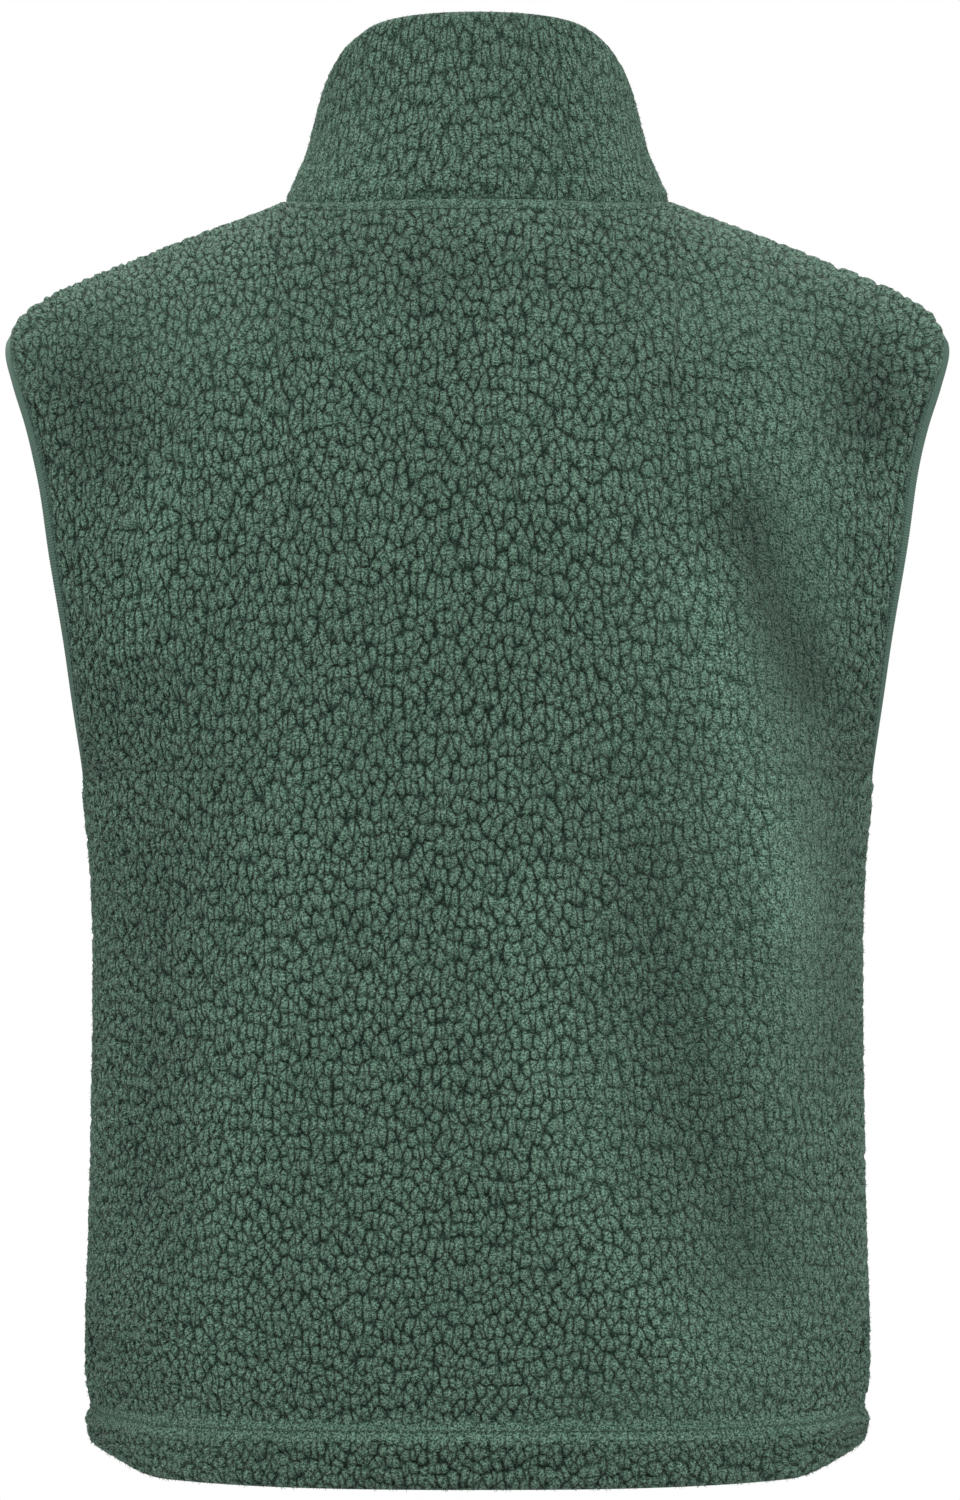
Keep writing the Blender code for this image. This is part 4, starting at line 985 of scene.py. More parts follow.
def neck_place(theta):
    """Points of the neck seam by the angle round it, from the middle of the back."""
    x = NECK_HALF_WIDTH * np.sin(theta)
    back_y, back_z, _ = neck(BACK, x)
    front_y, front_z, _ = neck(FRONT, x)
    is_back = np.cos(theta) > 0
    return np.stack([x, np.where(is_back, back_y, -front_y), np.where(is_back, back_z, front_z)], -1)


def collar_surface(theta, q):
    """Points of the collar's outer form, q 0 to 1 from the seam to its top."""
    base = neck_place(theta)
    x, is_back = base[..., 0], np.cos(theta) > 0
    narrow = 1 - TOP_HALF_WIDTH / NECK_HALF_WIDTH
    keep = np.where(is_back, 1, soft((x - 8) / 60))
    top_x = x * (1 - narrow * keep)
    share = np.clip(1 - (np.abs(top_x) / TOP_HALF_WIDTH) ** TOP_POWER, 0, 1) ** (1 / TOP_POWER)
    top_y = TOP_MIDDLE + np.where(is_back, 1, -1) * TOP_HALF_DEPTH * share
    top_z = table(COLLAR_TOP, top_y)
    lean = table(COLLAR_LEAN, q)
    return np.stack(
        np.broadcast_arrays(
            x + (top_x - x) * lean,
            base[..., 1] + (top_y - base[..., 1]) * lean,
            base[..., 2] + (top_z - base[..., 2]) * q,
        ),
        -1,
    )


def collar_normal(theta, q):
    """Outward directions of the collar's outer form."""
    step = 1e-3
    a = collar_surface(theta + step, q) - collar_surface(theta - step, q)
    b = collar_surface(theta, np.minimum(q + step, 1)) - collar_surface(theta, q - step)
    n = unit(np.cross(a, b))
    p = collar_surface(theta, q) - np.array([0, -5, 0.0])
    out = (p[..., :2] * n[..., :2]).sum(-1, keepdims=True)
    return n * np.where(out < 0, -1, 1)


def collar(tops):
    """The stand collar: both faces fleece, folded at its top edge."""
    end = np.pi - np.arcsin(ZIP_EDGE / NECK_HALF_WIDTH)
    theta = np.linspace(0, end, 400)
    run = along(collar_surface(theta, 0.35))
    columns = int(run[-1] / (STEP_ACROSS * COLLAR_SPACING[0])) // 2 * 2
    half_run = np.linspace(0, run[-1], columns)
    theta = np.interp(half_run, run, theta)
    theta = np.concatenate([-theta[:0:-1], theta])
    across = np.concatenate([-half_run[:0:-1], half_run])
    angle = np.abs(theta)
    mirror = np.stack([np.where(theta < 0, -1.0, 1.0), 0 * theta + 1, 0 * theta + 1], -1)
    height = np.linalg.norm(collar_surface(angle, 1.0) - collar_surface(angle, 0.0), axis=-1)
    count = int(COLLAR_MOST / (STEP_UP * COLLAR_SPACING[1]))
    down = np.linspace(1, 0, count)[:, None] * (height - COLLAR_ROUND)[None] + COLLAR_ROUND
    bend = np.linspace(0, np.pi, 13)[1:-1]
    arc = np.broadcast_to((COLLAR_ROUND * (1 - np.sin(bend)))[:, None], (len(bend), len(theta)))
    down = np.concatenate([down, arc, down[::-1]])
    turn = np.concatenate([np.ones(count), np.cos(bend), -np.ones(count)])[:, None]
    q = 1 - down / height[None]
    angles = np.broadcast_to(angle, q.shape)
    base = collar_surface(angles, q) * mirror
    normal = collar_normal(angles, np.clip(q, 0.002, 1)) * mirror
    from_seam = height[None] - down
    across = np.broadcast_to(across, q.shape)
    near_zip = np.where(angles > np.pi / 2, NECK_HALF_WIDTH * np.sin(angles), BESIDE) - ZIP_EDGE
    wall = WALL + (COLLAR_WALL - WALL) * soft((near_zip - 14) / 16)
    left = np.interp(near_zip, *ZIP_THIN)
    pressed = np.maximum(soft((3.0 - from_seam) / 3.0) * 0.8, 1 - left)
    # Softer toward the sides; painted light toward the sides, and painted shade in the seam and at the
    # back's middle.
    left_side, right_side = soft((base[..., 0] - 30) / 50), soft((-base[..., 0] - 20) / 60)
    smooth = 0.2 + 0.35 * right_side + 0.3 * left_side * soft((70 - from_seam) / 50)
    light = 0.3 * left_side * soft((60 - from_seam) / 40) - 0.9 * soft((1.5 - from_seam) / 0.9)
    light -= 0.2 * soft(1 - np.abs(base[..., 0] + 10) / 60)
    nap_and_painted_light = np.stack([smooth, pressed, light], -1)
    up = from_seam + np.where(turn < 0, COLLAR_INSIDE_UP, COLLAR_UP)
    places = np.stack([across + COLLAR_PLACES, up, 0 * across], -1)
    clump = places / (*COLLAR_CLUMP, 1)
    rough = np.random.default_rng(11).normal(0, ROUGHNESS, q.shape)
    strength = COLLAR_PILE * PILE_RELIEF * (1 - 0.6 * smooth) * (1 - 0.7 * pressed)
    lump = (relief(clump, nap_and_painted_light) - PILE_LEVEL) * strength + rough
    outer_at, inner_at = lump - (1 - left) * ZIP_OUTER * WALL, -wall - lump * 0.9
    points = base + normal * over_fold(turn, outer_at, inner_at)[..., None]
    # The lowest rows of both faces meet the panels' top edges.
    for key, rows in (("outer", np.arange(count)), ("inner", np.arange(len(q) - count, len(q))[::-1])):
        seam = seam_run(tops, key, theta)
        near = soft(1 - from_seam[rows] / SEAM_BLEND)[..., None]
        target = seam[None] + (base[rows] - base[rows[:1]]) + np.array([0, 0, SEAM_LIFT])
        points[rows] = points[rows] * (1 - near) + target * near
    mesh = Mesh()
    ids = mesh.add(points, places, nap_and_painted_light, clump)
    mesh.grid(ids)
    top = count + len(bend) // 2
    for column in (0, -1):
        mesh.zip(ids[top:, column], ids[: top + 1, column][::-1])
    return {"object": mesh.build("collar_fleece", [FLEECE, KNIT]), "skin": points, "nap_and_painted_light": nap_and_painted_light}


def seam_run(tops, key, theta):
    """Points of the panels' top edges, outer or inner, at these angles round the neck."""
    angles, points = [], []
    for name, top in tops.items():
        base, here = top["base"], top[key]
        if key == "inner":
            base = base[top["columns"]]
        keep = np.abs(base[:, 0]) <= NECK_HALF_WIDTH
        own = np.arcsin(np.clip(base[keep, 0] / NECK_HALF_WIDTH, -1, 1))
        if name != "back":
            own = np.sign(own) * np.pi - own
        angles.append(own)
        points.append(here[keep])
    angles, points = np.concatenate(angles), np.concatenate(points)
    order = np.argsort(angles)
    return read_run(theta, angles[order], points[order])


# --- loose fibres ----------------------------------------------------------------------------------

FIBRE_SPACING, FIBRE_SEED = 2.5, 21
FIBRE_LENGTH, FIBRE_ROOT = (0.6, 1.7), 0.2  # least and most length, and half width at the root
FIBRE_SUNK = 0.3  # how deep the root sits in the pile
FIBRE_LEAN, FIBRE_DROP = 0.85, 0.15  # how unevenly the fibres lean, and how much downward
FIBRE_DROOP, FIBRE_PRESSED = 0.12, 0.75  # bend of a tip, and how much shorter in pressed pile
FIBRE_TONES = 900.0  # length of cloth over which the fibres' places, and so their tones, are spread


def outward_sign(skin):
    """1 where the skin's rows and columns turn outward as they stand, -1 where they turn inward."""
    row, column = len(skin) // 3, skin.shape[1] // 2
    here = skin[row, column]
    turned = np.cross(skin[row + 1, column] - here, skin[row, column + 1] - here)
    return np.sign((turned * here * (1, 1, 0)).sum())


def fuzz(name, made):
    """Fibre ends standing out of a panel's pile, one narrow spike for each."""
    rng = np.random.default_rng(FIBRE_SEED)
    mesh = Mesh()
    skin, nap_and_painted_light = made["skin"], made["nap_and_painted_light"]
    rows, columns = skin.shape[:2]
    cells = np.cross(skin[1:, :-1] - skin[:-1, :-1], skin[:-1, 1:] - skin[:-1, :-1])
    area = np.linalg.norm(cells, axis=-1)
    count = int(area.sum() / FIBRE_SPACING**2)
    i, j = rng.integers(0, rows - 1, count), rng.integers(0, columns - 1, count)
    s, t = rng.random((2, count, 1))
    root = (skin[i, j] * (1 - s) + skin[i + 1, j] * s) * (1 - t)
    root += (skin[i, j + 1] * (1 - s) + skin[i + 1, j + 1] * s) * t
    up = unit(np.cross(skin[i + 1, j] - skin[i, j], skin[i, j + 1] - skin[i, j]))
    up *= outward_sign(skin)
    lean = rng.normal(0, FIBRE_LEAN, (count, 3)) + np.array([0, 0, -FIBRE_DROP])
    way = unit(up + lean - up * (lean * up).sum(-1, keepdims=True))
    short = 1 - FIBRE_PRESSED * nap_and_painted_light[i, j, 1:2]
    length = rng.uniform(*FIBRE_LENGTH, (count, 1)) * short
    side = unit(np.cross(way, rng.normal(0, 1, (count, 3))))
    other = np.cross(way, side)
    foot = root - way * FIBRE_SUNK
    turns = np.arange(3) * 2 * np.pi / 3
    ring = foot[:, None] + FIBRE_ROOT * (
        side[:, None] * np.cos(turns)[:, None] + other[:, None] * np.sin(turns)[:, None]
    )
    tip = root + way * length - np.array([0, 0, FIBRE_DROOP]) * length**2
    points = np.concatenate([ring, tip[:, None]], axis=1)
    places = np.broadcast_to(rng.random((count, 1, 1)) * FIBRE_TONES, points.shape)
    ids = mesh.add(points, places)
    a, b, c, d = np.moveaxis(ids, -1, 0)
    mesh.cells(np.stack([np.stack(f, -1) for f in ((a, b, d), (b, c, d), (c, a, d))], 1))
    return mesh.build(name, [FUZZ])


# --- armhole bindings ------------------------------------------------------------------------------

RIB_STEP, RIB_RISE = 0.65, 0.11
# Binding section round the edge: (distance in from the armhole's edge, depth).
BINDING_SECTION = (
    (8.3, -2.3), (8.35, -1.5), (7.7, -1.12), (5.6, -1.0), (3.0, -1.0), (1.0, -1.1), (-0.4, -1.6),
    (-1.1, -2.5), (-1.3, -3.4), (-1.1, -4.3), (-0.4, -5.2), (1.0, -5.7), (4.4, -5.8), (7.7, -5.7),
    (8.3, -5.2),
)
BINDING_STITCH = 6.9  # in from the armhole's edge
MIDDLE_DEPTH = -3.4  # depth of the binding's fold
EDGE_TURN = 14.0  # length over which the inward direction turns at the underarm and the shoulder


def edge_places(face, distances):
    """Chart places at these distances in from the armhole's edge, underarm to shoulder."""
    dense = np.linspace(1, 2, 1601)
    length = along(body(face, np.ones(len(dense)), dense))
    count = int(length[-1] / (RIB_STEP * 1)) // 2 * 2
    at = np.linspace(0, length[-1], count)
    ups = np.interp(at, length, dense)
    edge = body(face, np.ones(count), ups)
    normal = point_normals(lambda a, u: body(face, a, u), np.full(count, 0.9999), ups)
    inward = face * unit(np.cross(np.gradient(edge, axis=0), normal))
    ends = (np.array([0, 0, -1.0]), -unit(edge[-1] - body(face, np.array(0.98), np.array(2.0))))
    for end, from_end in zip(ends, (at, at[-1] - at)):
        near = soft(1 - from_end / EDGE_TURN)[:, None]
        inward = unit(inward * (1 - near) + end * near)
    found, small = [], 1e-3
    for distance in distances:
        a, u = np.ones(count), ups.copy()
        target = edge + inward * max(distance, 0.0)
        # A few steps toward the chart place whose point lies nearest to the target.
        for _ in range(5):
            here = body(face, a, u)
            da = (here - body(face, a - small, u)) / small
            du = (here - body(face, a, u - small)) / small
            miss = target - here
            aa, au, uu = (da * da).sum(-1), (da * du).sum(-1), (du * du).sum(-1)
            ra, ru = (da * miss).sum(-1), (du * miss).sum(-1)
            det = np.maximum(aa * uu - au * au, 1e-6)
            a = np.clip(a + (ra * uu - ru * au) / det, 0.5, 1.0)
            u = np.clip(u + (ru * aa - ra * au) / det, 0.9, 2.0)
        found.append(np.stack([a, u], -1))
    return found


def binding_rows(side, section):
    """Points of each section place along the whole armhole, back then front, as one closed loop."""
    halves = []
    for face in (BACK, FRONT):
        surface = cloth(face, side)
        places = edge_places(face, [distance for distance, _ in section] + [0.0, 2.0])
        edge, in_edge = (put(surface, p, np.full(len(p), MIDDLE_DEPTH)) for p in places[-2:])
        beyond = unit(edge - in_edge)
        rows = []
        for (distance, depth), place in zip(section, places):
            row = put(surface, place, np.full(len(place), depth))
            rows.append(row + beyond * max(-distance, 0.0))
        half = np.stack(rows, 1)
        halves.append(half if face == BACK else half[::-1])
    # The halves meet at the shoulder and at the underarm.
    back_half, front_half = halves
    back_half[-1] = front_half[0] = (back_half[-1] + front_half[0]) / 2
    back_half[0] = front_half[-1] = (back_half[0] + front_half[-1]) / 2
    loop = np.concatenate([back_half[:-1], front_half[:-1]])
    for _ in range(3):
        loop = (np.roll(loop, 1, 0) + 2 * loop + np.roll(loop, -1, 0)) / 4
    return loop


def binding(name, side):
    """Ribbed knit binding, a U over the armhole's edge, with every other row of points raised."""
    loop = binding_rows(side, BINDING_SECTION)
    normal = np.cross(np.roll(loop, -1, 0) - np.roll(loop, 1, 0), np.gradient(loop, axis=1))
    ribs = np.where(np.arange(len(loop)) % 2, -RIB_RISE, RIB_RISE)[:, None]
    inner_points = slice(1, -1)
    loop[:, inner_points] += (unit(normal) * ribs[..., None])[:, inner_points]
    length = np.arange(len(loop)) * RIB_STEP
    across = along(loop[0])
    places = np.stack(np.broadcast_arrays(length[:, None], across[None], 0.0), -1)
    mesh = Mesh()
    ids = mesh.add(loop, places)
    mesh.grid(np.concatenate([ids, ids[:1]]))
    return mesh.build(name, [BINDING])


# --- thread ----------------------------------------------------------------------------------------

STITCH_PITCH, STITCH_LENGTH, STITCH_RADIUS = 3.1, 2.3, 0.27
STITCH_ARCH, STITCH_DIP = 0.32, 0.12
STITCH_LIFT = 0.35  # over the panels' smooth outer face


def stitches(mesh, points, normals):
    """A run of machine stitches laid along a path, each dipping into the cloth at both ends."""
    way = along(points)
    count = int(way[-1] / STITCH_PITCH)
    share = np.linspace(0, 1, 5)
    at = (np.arange(count)[:, None] * STITCH_PITCH + 0.4) + share * STITCH_LENGTH
    place, up = read_run(at, way, points), unit(read_run(at, way, normals))
    run = unit(np.gradient(place, axis=1))
    side = unit(np.cross(run, up))
    arch = (1 - (2 * share - 1) ** 2) * STITCH_ARCH - STITCH_DIP
    wide = STITCH_RADIUS * np.array([0.35, 0.9, 1.0, 0.9, 0.35])
    turns = np.arange(5) * 2 * np.pi / 5
    ring = side[..., None, :] * np.cos(turns)[:, None] + up[..., None, :] * np.sin(turns)[:, None]
    rings = (place + up * arch[:, None])[..., None, :] + ring * wide[:, None, None]
    mesh.tube(rings)


def row_path(made, key, reach):
    """A row of a panel as a path over its smooth outer face, within this distance of the middle."""
    row = made["rows"][key]
    points, normals = made["smooth"][row], made["normal"][row]
    inside = np.abs(points[:, 0]) < reach
    return (points + normals * STITCH_LIFT)[inside], normals[inside]


def thread(panels, sides):
    """Every visible row of stitches: hem, below the collar's seam, and both bindings."""
    mesh = Mesh()
    for made in panels:
        stitches(mesh, *row_path(made, "hem", np.inf))
        stitches(mesh, *row_path(made, "neck", NECK_HALF_WIDTH - 4))
    for side in sides:
        rows = binding_rows(side, ((BINDING_STITCH, -0.95), (BINDING_STITCH, 0.0)))
        loop = np.concatenate([rows, rows[:1]])
        stitches(mesh, loop[:, 0], loop[:, 1] - loop[:, 0])
    return mesh.build("seam_thread", [THREAD])


# --- zip -------------------------------------------------------------------------------------------

TOOTH_PITCH, TEETH_START, TEETH_END = 2.9, 9.7, 1.5
TEETH_TUCK = 0.45  # the teeth are moulded over the tape's edge, which lies this far from the middle
OUTWARD_ROUNDS = 12  # rounds that smooth the outward directions along the zip


def zip_line(x, below_top, step=1.8):
    """Evenly spaced points and outward directions up the front, this far from its middle."""
    surface = cloth(FRONT, 1)
    ups = np.linspace(ZIP_START / (UNDERARM - HEM), 2, 700)
    half, angle = section_edge(FRONT, body(FRONT, 0.05, ups)[..., 2])
    across = np.arcsin(x / half) / angle
    theta = np.pi - np.arcsin(x / NECK_HALF_WIDTH)
    height = np.linalg.norm(collar_surface(theta, 1.0) - collar_surface(theta, 0.0))
    q = np.linspace(0.03, 1 - below_top / height, 160)
    points = np.concatenate([surface(across, ups), collar_surface(theta, q)])
    outs = np.concatenate([point_normals(surface, across, ups), collar_normal(theta, q)])
    way = along(points)
    at = np.linspace(0, way[-1], int(way[-1] / step) + 1)
    points, outs = read_run(at, way, points), read_run(at, way, outs)
    for _ in range(OUTWARD_ROUNDS):
        outs[1:-1] = (outs[:-2] + outs[1:-1] + outs[2:]) / 3
    return points, unit(outs), at


def tape(name, side):
    """Woven tape beside the teeth, with a rounded edge at both sides."""
    (near, far), (top, low) = (TEETH_TUCK, TAPE_EDGES[1]), TAPE_DEPTH
    middle = (top + low) / 2
    section = (
        (near, middle), (near + 0.3, top), (near + 2.6, top), (8.0, top), (12.5, top), (far - 0.3, top),
        (far, middle), (far - 0.3, low), (12.5, low), (8.0, low), (near + 2.6, low), (near + 0.3, low),
    )
    rings, places = [], []
    count = len(zip_line(near, TAPE_BELOW_TOP)[2])
    for x, depth in section:
        points, outs, at = zip_line(x, TAPE_BELOW_TOP)
        share = np.linspace(0, at[-1], count)
        rings.append(read_run(share, at, points + outs * depth) * (side, 1, 1))
        places.append(np.stack([0 * share + x, share, 0 * share], -1))
    mesh = Mesh()
    mesh.tube(np.stack(rings, 1), np.stack(places, 1))
    return mesh.build(name, [TAPE])


TOOTH_ROUND, TOOTH_TIP = 0.25, 0.85  # height of its rounded rims, and their width's share
# Outline of a tooth: (length across from the zip's middle, length along it).
TOOTH = (
    (3.0, -0.8), (1.3, -0.72), (0.75, -0.62), (0.3, -0.98), (-0.5, -0.9), (-0.95, -0.45),
    (-0.95, 0.45), (-0.5, 0.9), (0.3, 0.98), (0.75, 0.62), (1.3, 0.72), (3.0, 0.8),
)


def teeth():
    """Moulded teeth, alternately from the left and the right tape."""
    points, outs, at = zip_line(0.0, CHAIN_BELOW_TOP, 0.8)
    outline = np.array(TOOTH)
    top, low = TEETH_DEPTH
    rims = (TOOTH_TIP, top), (1.0, top - TOOTH_ROUND)
    levels = (*rims, (1.0, low + TOOTH_ROUND), (TOOTH_TIP, low))
    mesh = Mesh()
    for side, shift in ((1, 0.0), (-1, TOOTH_PITCH / 2)):
        place = np.arange(TEETH_START + shift, at[-1] - TEETH_END, TOOTH_PITCH)
        origin, out = read_run(place, at, points), unit(read_run(place, at, outs))
        x_way = side * X_WAY
        up = unit(np.cross(x_way, out)) * side
        rings = []
        for share, depth in levels:
            xs = 1.0 + (outline[:, 0] - 1.0) * share
            ts = outline[:, 1] * share
            ring = origin[:, None] + x_way * xs[None, :, None] + up[:, None] * ts[None, :, None]
            rings.append(ring + out[:, None] * depth)
        mesh.tube(np.stack(rings, 1))
    return mesh.build("moulded_teeth", [TEETH], True)


def rounded(half_width, low, high, radius, steps=5):
    """Outline of a rounded rectangle in (across, along), counted round from its lower right."""
    corners = ((half_width, low), (half_width, high), (-half_width, high), (-half_width, low))
    starts = (-np.pi / 2, 0, np.pi / 2, np.pi)
    outline = []
    for (x, t), start in zip(corners, starts):
        turns = start + np.linspace(0, np.pi / 2, steps)
        centre = (x - np.sign(x) * radius, t + radius if t == low else t - radius)
        outline += [(centre[0] + radius * np.cos(b), centre[1] + radius * np.sin(b)) for b in turns]
    return np.array(outline)


def drawn_in(outline, inset):
    """The outline moved this far in toward its middle."""
    middle = outline.mean(0)
    reach = np.linalg.norm(outline - middle, axis=1, keepdims=True)
    return middle + (outline - middle) * (1 - inset / reach)


def lifted(pose, outline, depth):
    """Points of a flat outline at a place on the zip, this far out."""
    origin, up, out = pose
    return origin + outline[:, :1] * X_WAY + outline[:, 1:] * up + out * depth


def plate(mesh, pose, outline, low, high, bevel=0.25):
    """A flat hard piece with rounded rims, from its outline and two depths."""
    rims = (
        (bevel, low), (bevel * 0.3, low + bevel * 0.3), (0, low + bevel),
        (0, high - bevel), (bevel * 0.3, high - bevel * 0.3), (bevel, high),
    )
    mesh.tube(np.stack([lifted(pose, drawn_in(outline, inset), depth) for inset, depth in rims]))


def slider_pose():
    """Middle of the slider on the collar's outer face, and its directions."""
    height = np.linalg.norm(collar_surface(np.pi, 1.0) - collar_surface(np.pi, 0.0))
    q = 1 - SLIDER_BELOW_TOP / height
    up = unit(collar_surface(np.pi, q + 0.05) - collar_surface(np.pi, q - 0.05))
    out = unit(np.cross(up, X_WAY))
    return collar_surface(np.pi, q), up, out if out[1] < 0 else -out


# Outlines of the hard pieces: half width, lower end, upper end and corner radius. A taper is the
# share of the width that is lost toward the narrow end, and depths are outward of the zip's line.
SLIDER_OUTLINE, SLIDER_TAPER = (4.8, -6.0, 6.5, 2.0), 0.26
SLIDER_PLATES = ((-4.9, -3.8), (-9.0, -7.9))
POST_OUTLINE, POST_DEPTHS = (1.5, 3.9, 6.3, 0.7), (-8.1, -4.7)
ARCH_REACH, ARCH_FOOT, ARCH_RISE = 2.9, -4.0, 3.35  # half length, and depths of its feet and rise
ARCH_SECTION = (1.0, -0.48, 0.48, 0.3)
PULL_OUTLINE, PULL_TAPER = (2.65, -24.0, 0.65, 1.5), 0.12
PULL_HOLE, PULL_HOLE_HALVES = (0.0, -2.9), (1.45, 2.05)
# Rims of the pull: (inset, depth), and of its hole: (growth, depth).
PULL_RIMS = ((0.3, -0.6), (0.08, -0.5), (0, -0.3), (0, 0.3), (0.08, 0.5), (0.3, 0.6))
HOLE_RIMS = ((1.1, 0.6), (1.0, 0.4), (1.0, -0.4), (1.1, -0.6))
PULL_RIDGES, BOX_RIDGES = np.arange(-20.5, -10.0, 1.9), (2.2, 4.3, 6.4)
BOX_OUTLINE, PIN_OUTLINE = (5.1, 0.1, 8.5, 1.3), (2.7, 0.3, 8.4, 0.8)


def slider():
    """Zip slider: two shield-shaped plates, the post between them, and the pull's arch."""
    pose = slider_pose()
    origin, up, out = pose
    outline = rounded(*SLIDER_OUTLINE, 7)
    outline[:, 0] *= 1 - SLIDER_TAPER * soft((2.0 - outline[:, 1]) / 7.0)
    mesh = Mesh()
    for depths in SLIDER_PLATES:
        plate(mesh, pose, outline, *depths)
    plate(mesh, pose, rounded(*POST_OUTLINE), *POST_DEPTHS, 0.15)
    turns = np.linspace(0, np.pi, 15)
    arch_t = PIVOT[0] - ARCH_REACH * np.cos(turns)
    arch_n = ARCH_FOOT + ARCH_RISE * np.sin(turns) ** 0.75
    slope = np.stack([np.gradient(arch_t), np.gradient(arch_n)], -1)
    across = unit(np.stack([-slope[:, 1], slope[:, 0]], -1))
    section = rounded(*ARCH_SECTION, 3)
    rings = []
    for t, n, (at, an) in zip(arch_t, arch_n, across):
        flat = origin + up * t + out * n
        rings.append(flat + section[:, :1] * X_WAY + section[:, 1:] * (up * at + out * an))
    mesh.tube(np.array(rings))
    return mesh.build("slider_body", [SLIDER], True)


def pull():
    """Pull tab: a bar inside the slider's arch, a slot, and a grip with cross ridges."""
    origin, up, out = slider_pose()
    pivot = (origin + up * PIVOT[0] + out * PIVOT[1], up, out)
    outline = rounded(*PULL_OUTLINE, 9)
    outline[:, 0] *= 1 - PULL_TAPER * soft((outline[:, 1] + 9) / 8.0)
    angle = np.arctan2(*(outline - PULL_HOLE).T[::-1])
    round_hole = np.stack([np.cos(angle), np.sin(angle)], -1)
    hole = round_hole * PULL_HOLE_HALVES * (np.abs(round_hole) ** 3).sum(1, keepdims=True) ** (-1 / 3)
    rings = [lifted(pivot, drawn_in(outline, inset), depth) for inset, depth in PULL_RIMS]
    rings += [lifted(pivot, PULL_HOLE + hole * grow, depth) for grow, depth in HOLE_RIMS]
    mesh = Mesh()
    ids = mesh.add(np.stack(rings))
    mesh.grid(np.concatenate([ids, ids[:1]]), closed=True)
    for t in PULL_RIDGES:
        plate(mesh, pivot, rounded(1.7, t - 0.4, t + 0.4, 0.35, 4), 0.3, 0.85, 0.18)
    return mesh.build("pull_tab", [SLIDER], True)


def box():
    """Retaining box and pin at the zip's lower end."""
    points, outs, _ = zip_line(0.0, CHAIN_BELOW_TOP, 3.0)
    start, end = points[0], points[3]
    pose = (start, unit(end - start), unit(outs[1]))
    mesh = Mesh()
    plate(mesh, pose, rounded(*BOX_OUTLINE), -5.9, -4.45, 0.35)
    plate(mesh, pose, rounded(*BOX_OUTLINE), -8.55, -7.5, 0.3)
    plate(mesh, pose, rounded(*PIN_OUTLINE), -7.7, -5.7, 0.15)
    for t in BOX_RIDGES:
        plate(mesh, pose, rounded(3.4, t - 0.35, t + 0.35, 0.3, 4), -4.7, -4.25, 0.12)
    return mesh.build("retaining_box", [TEETH], True)


# --- the pieces ------------------------------------------------------------------------------------

FLEECE, KNIT, FUZZ = fleece_material(), knit_material(), fuzz_material()
BINDING = rib_material("binding_knit", (0.046, 0.100, 0.074), (0.078, 0.148, 0.114), 1.3, True)
TAPE = rib_material("zip_tape_weave", (0.030, 0.062, 0.045), (0.056, 0.098, 0.074), 1.0, False)
THREAD = plain_material("thread", (0.018, 0.044, 0.031), (0.045, 0.085, 0.065), 0.75, 0.7)
TEETH = plain_material("zip_plastic", (0.028, 0.060, 0.044), (0.045, 0.082, 0.062), 0.60, 2.5)
SLIDER = plain_material("slider_paint", (0.020, 0.046, 0.033), (0.038, 0.070, 0.053), 0.45, 3.0)


def dress(obj, nodes=(), rides="vest"):
    """Puts a piece on its body, in the place of its nodes."""
    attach(obj, rides)
    if nodes:
        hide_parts(*nodes)
    return obj


back = panel("back_fleece", BACK)
left = panel("front_left_fleece", FRONT, 1)
right = panel("front_right_fleece", FRONT, -1)
stand = collar({"back": back, "left": left, "right": right})
for made, node in ((back, "back"), (left, "front_left"), (right, "front_right"), (stand, "collar")):
    dress(made["object"], [node])
    made["fuzz"] = dress(fuzz(node + "_fuzz", made))
for name, side in (("left", 1), ("right", -1)):
    bound = dress(binding("binding_" + name, side), ["armhole_binding_" + name])
    weave = dress(tape("tape_" + name, side), ["zip_tape_" + name])
dress(thread((back, left, right), (1, -1)))
dress(teeth(), ["zip_chain"])
dress(box(), ["zip_box"])
dress(slider(), ["zip_slider"])
dress(pull(), ["zip_pull"], "zip_pull")

# --- camera, light and floor -----------------------------------------------------------------------

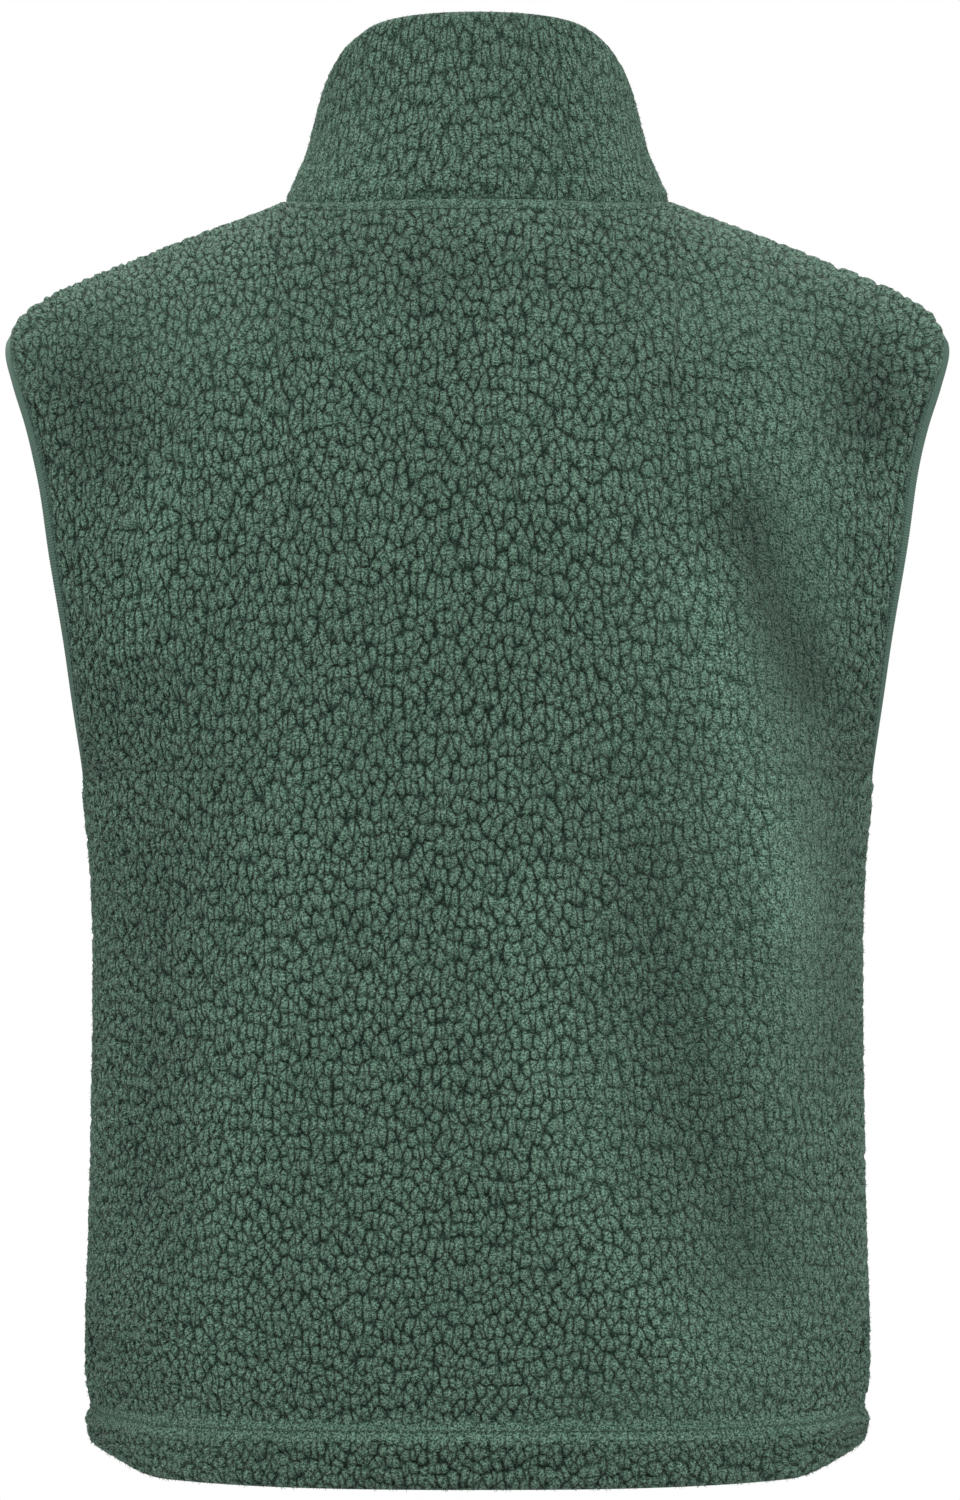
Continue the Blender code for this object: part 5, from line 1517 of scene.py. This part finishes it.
EYE = (-1.2, 2600.0, -259.0)
SENSOR, LENS = 36, 131.4
camera = bpy.data.objects.new("camera", bpy.data.cameras.new("camera"))
bpy.context.scene.collection.objects.link(camera)
camera.location = [x * MM for x in EYE]
camera.rotation_euler = (np.pi / 2, 0, np.pi)
camera.data.sensor_width = SENSOR
camera.data.lens = LENS
bpy.context.scene.camera = camera
bpy.context.scene.view_settings.view_transform = "Standard"

WORLD_LIGHT = 0.247
# Lamps: name, place and size in metres, power in watts.
LAMPS = (
    ("key", (-0.15, 2.0, 2.2), 1.0, 79),
    ("left", (2.3, 0.9, 0.4), 1.2, 33),
    ("right", (-2.3, 0.9, 0.4), 1.2, 33),
    ("front_key", (0.15, -2.0, 2.2), 1.0, 76),
)
LAMP_AIM = (0, 0, -0.25)
FLOOR_HALF, FLOOR_Z = 3.0, -1.42


def studio_world():
    """Soft even light from all round; the backdrop behind the vest shows as plain white."""
    world = bpy.data.worlds.new("studio")
    world.use_nodes = True
    g = Graph(world.node_tree)
    shown = g.node("ShaderNodeLightPath").outputs["Is Camera Ray"]
    background = world.node_tree.nodes["Background"]
    background.inputs[0].default_value = (1, 1, 1, 1)
    g.feed(background.inputs[1], g.spread(shown, 0.0, 1.0, WORLD_LIGHT, 1.0, "LINEAR"))
    bpy.context.scene.world = world


def area_light(name, place, size, power):
    """A round lamp that faces the vest's middle."""
    lamp = bpy.data.lights.new(name, "AREA")
    lamp.shape, lamp.size, lamp.energy = "DISK", size, power
    obj = bpy.data.objects.new(name, lamp)
    bpy.context.scene.collection.objects.link(obj)
    obj.location = place
    obj.rotation_euler = (Vector(LAMP_AIM) - Vector(place)).to_track_quat("-Z", "Y").to_euler()


studio_world()
for lamp in LAMPS:
    area_light(*lamp)

floor_mesh = bpy.data.meshes.new("floor")
corners = ((-1, -1), (1, -1), (1, 1), (-1, 1))
floor_mesh.from_pydata([(x * FLOOR_HALF, y * FLOOR_HALF, FLOOR_Z) for x, y in corners], [], [(0, 1, 2, 3)])
floor = bpy.data.objects.new("floor", floor_mesh)
bpy.context.scene.collection.objects.link(floor)
floor_mesh.materials.append(plain_material("floor", (0.78, 0.78, 0.77), (0.84, 0.84, 0.83), 0.8, 60))
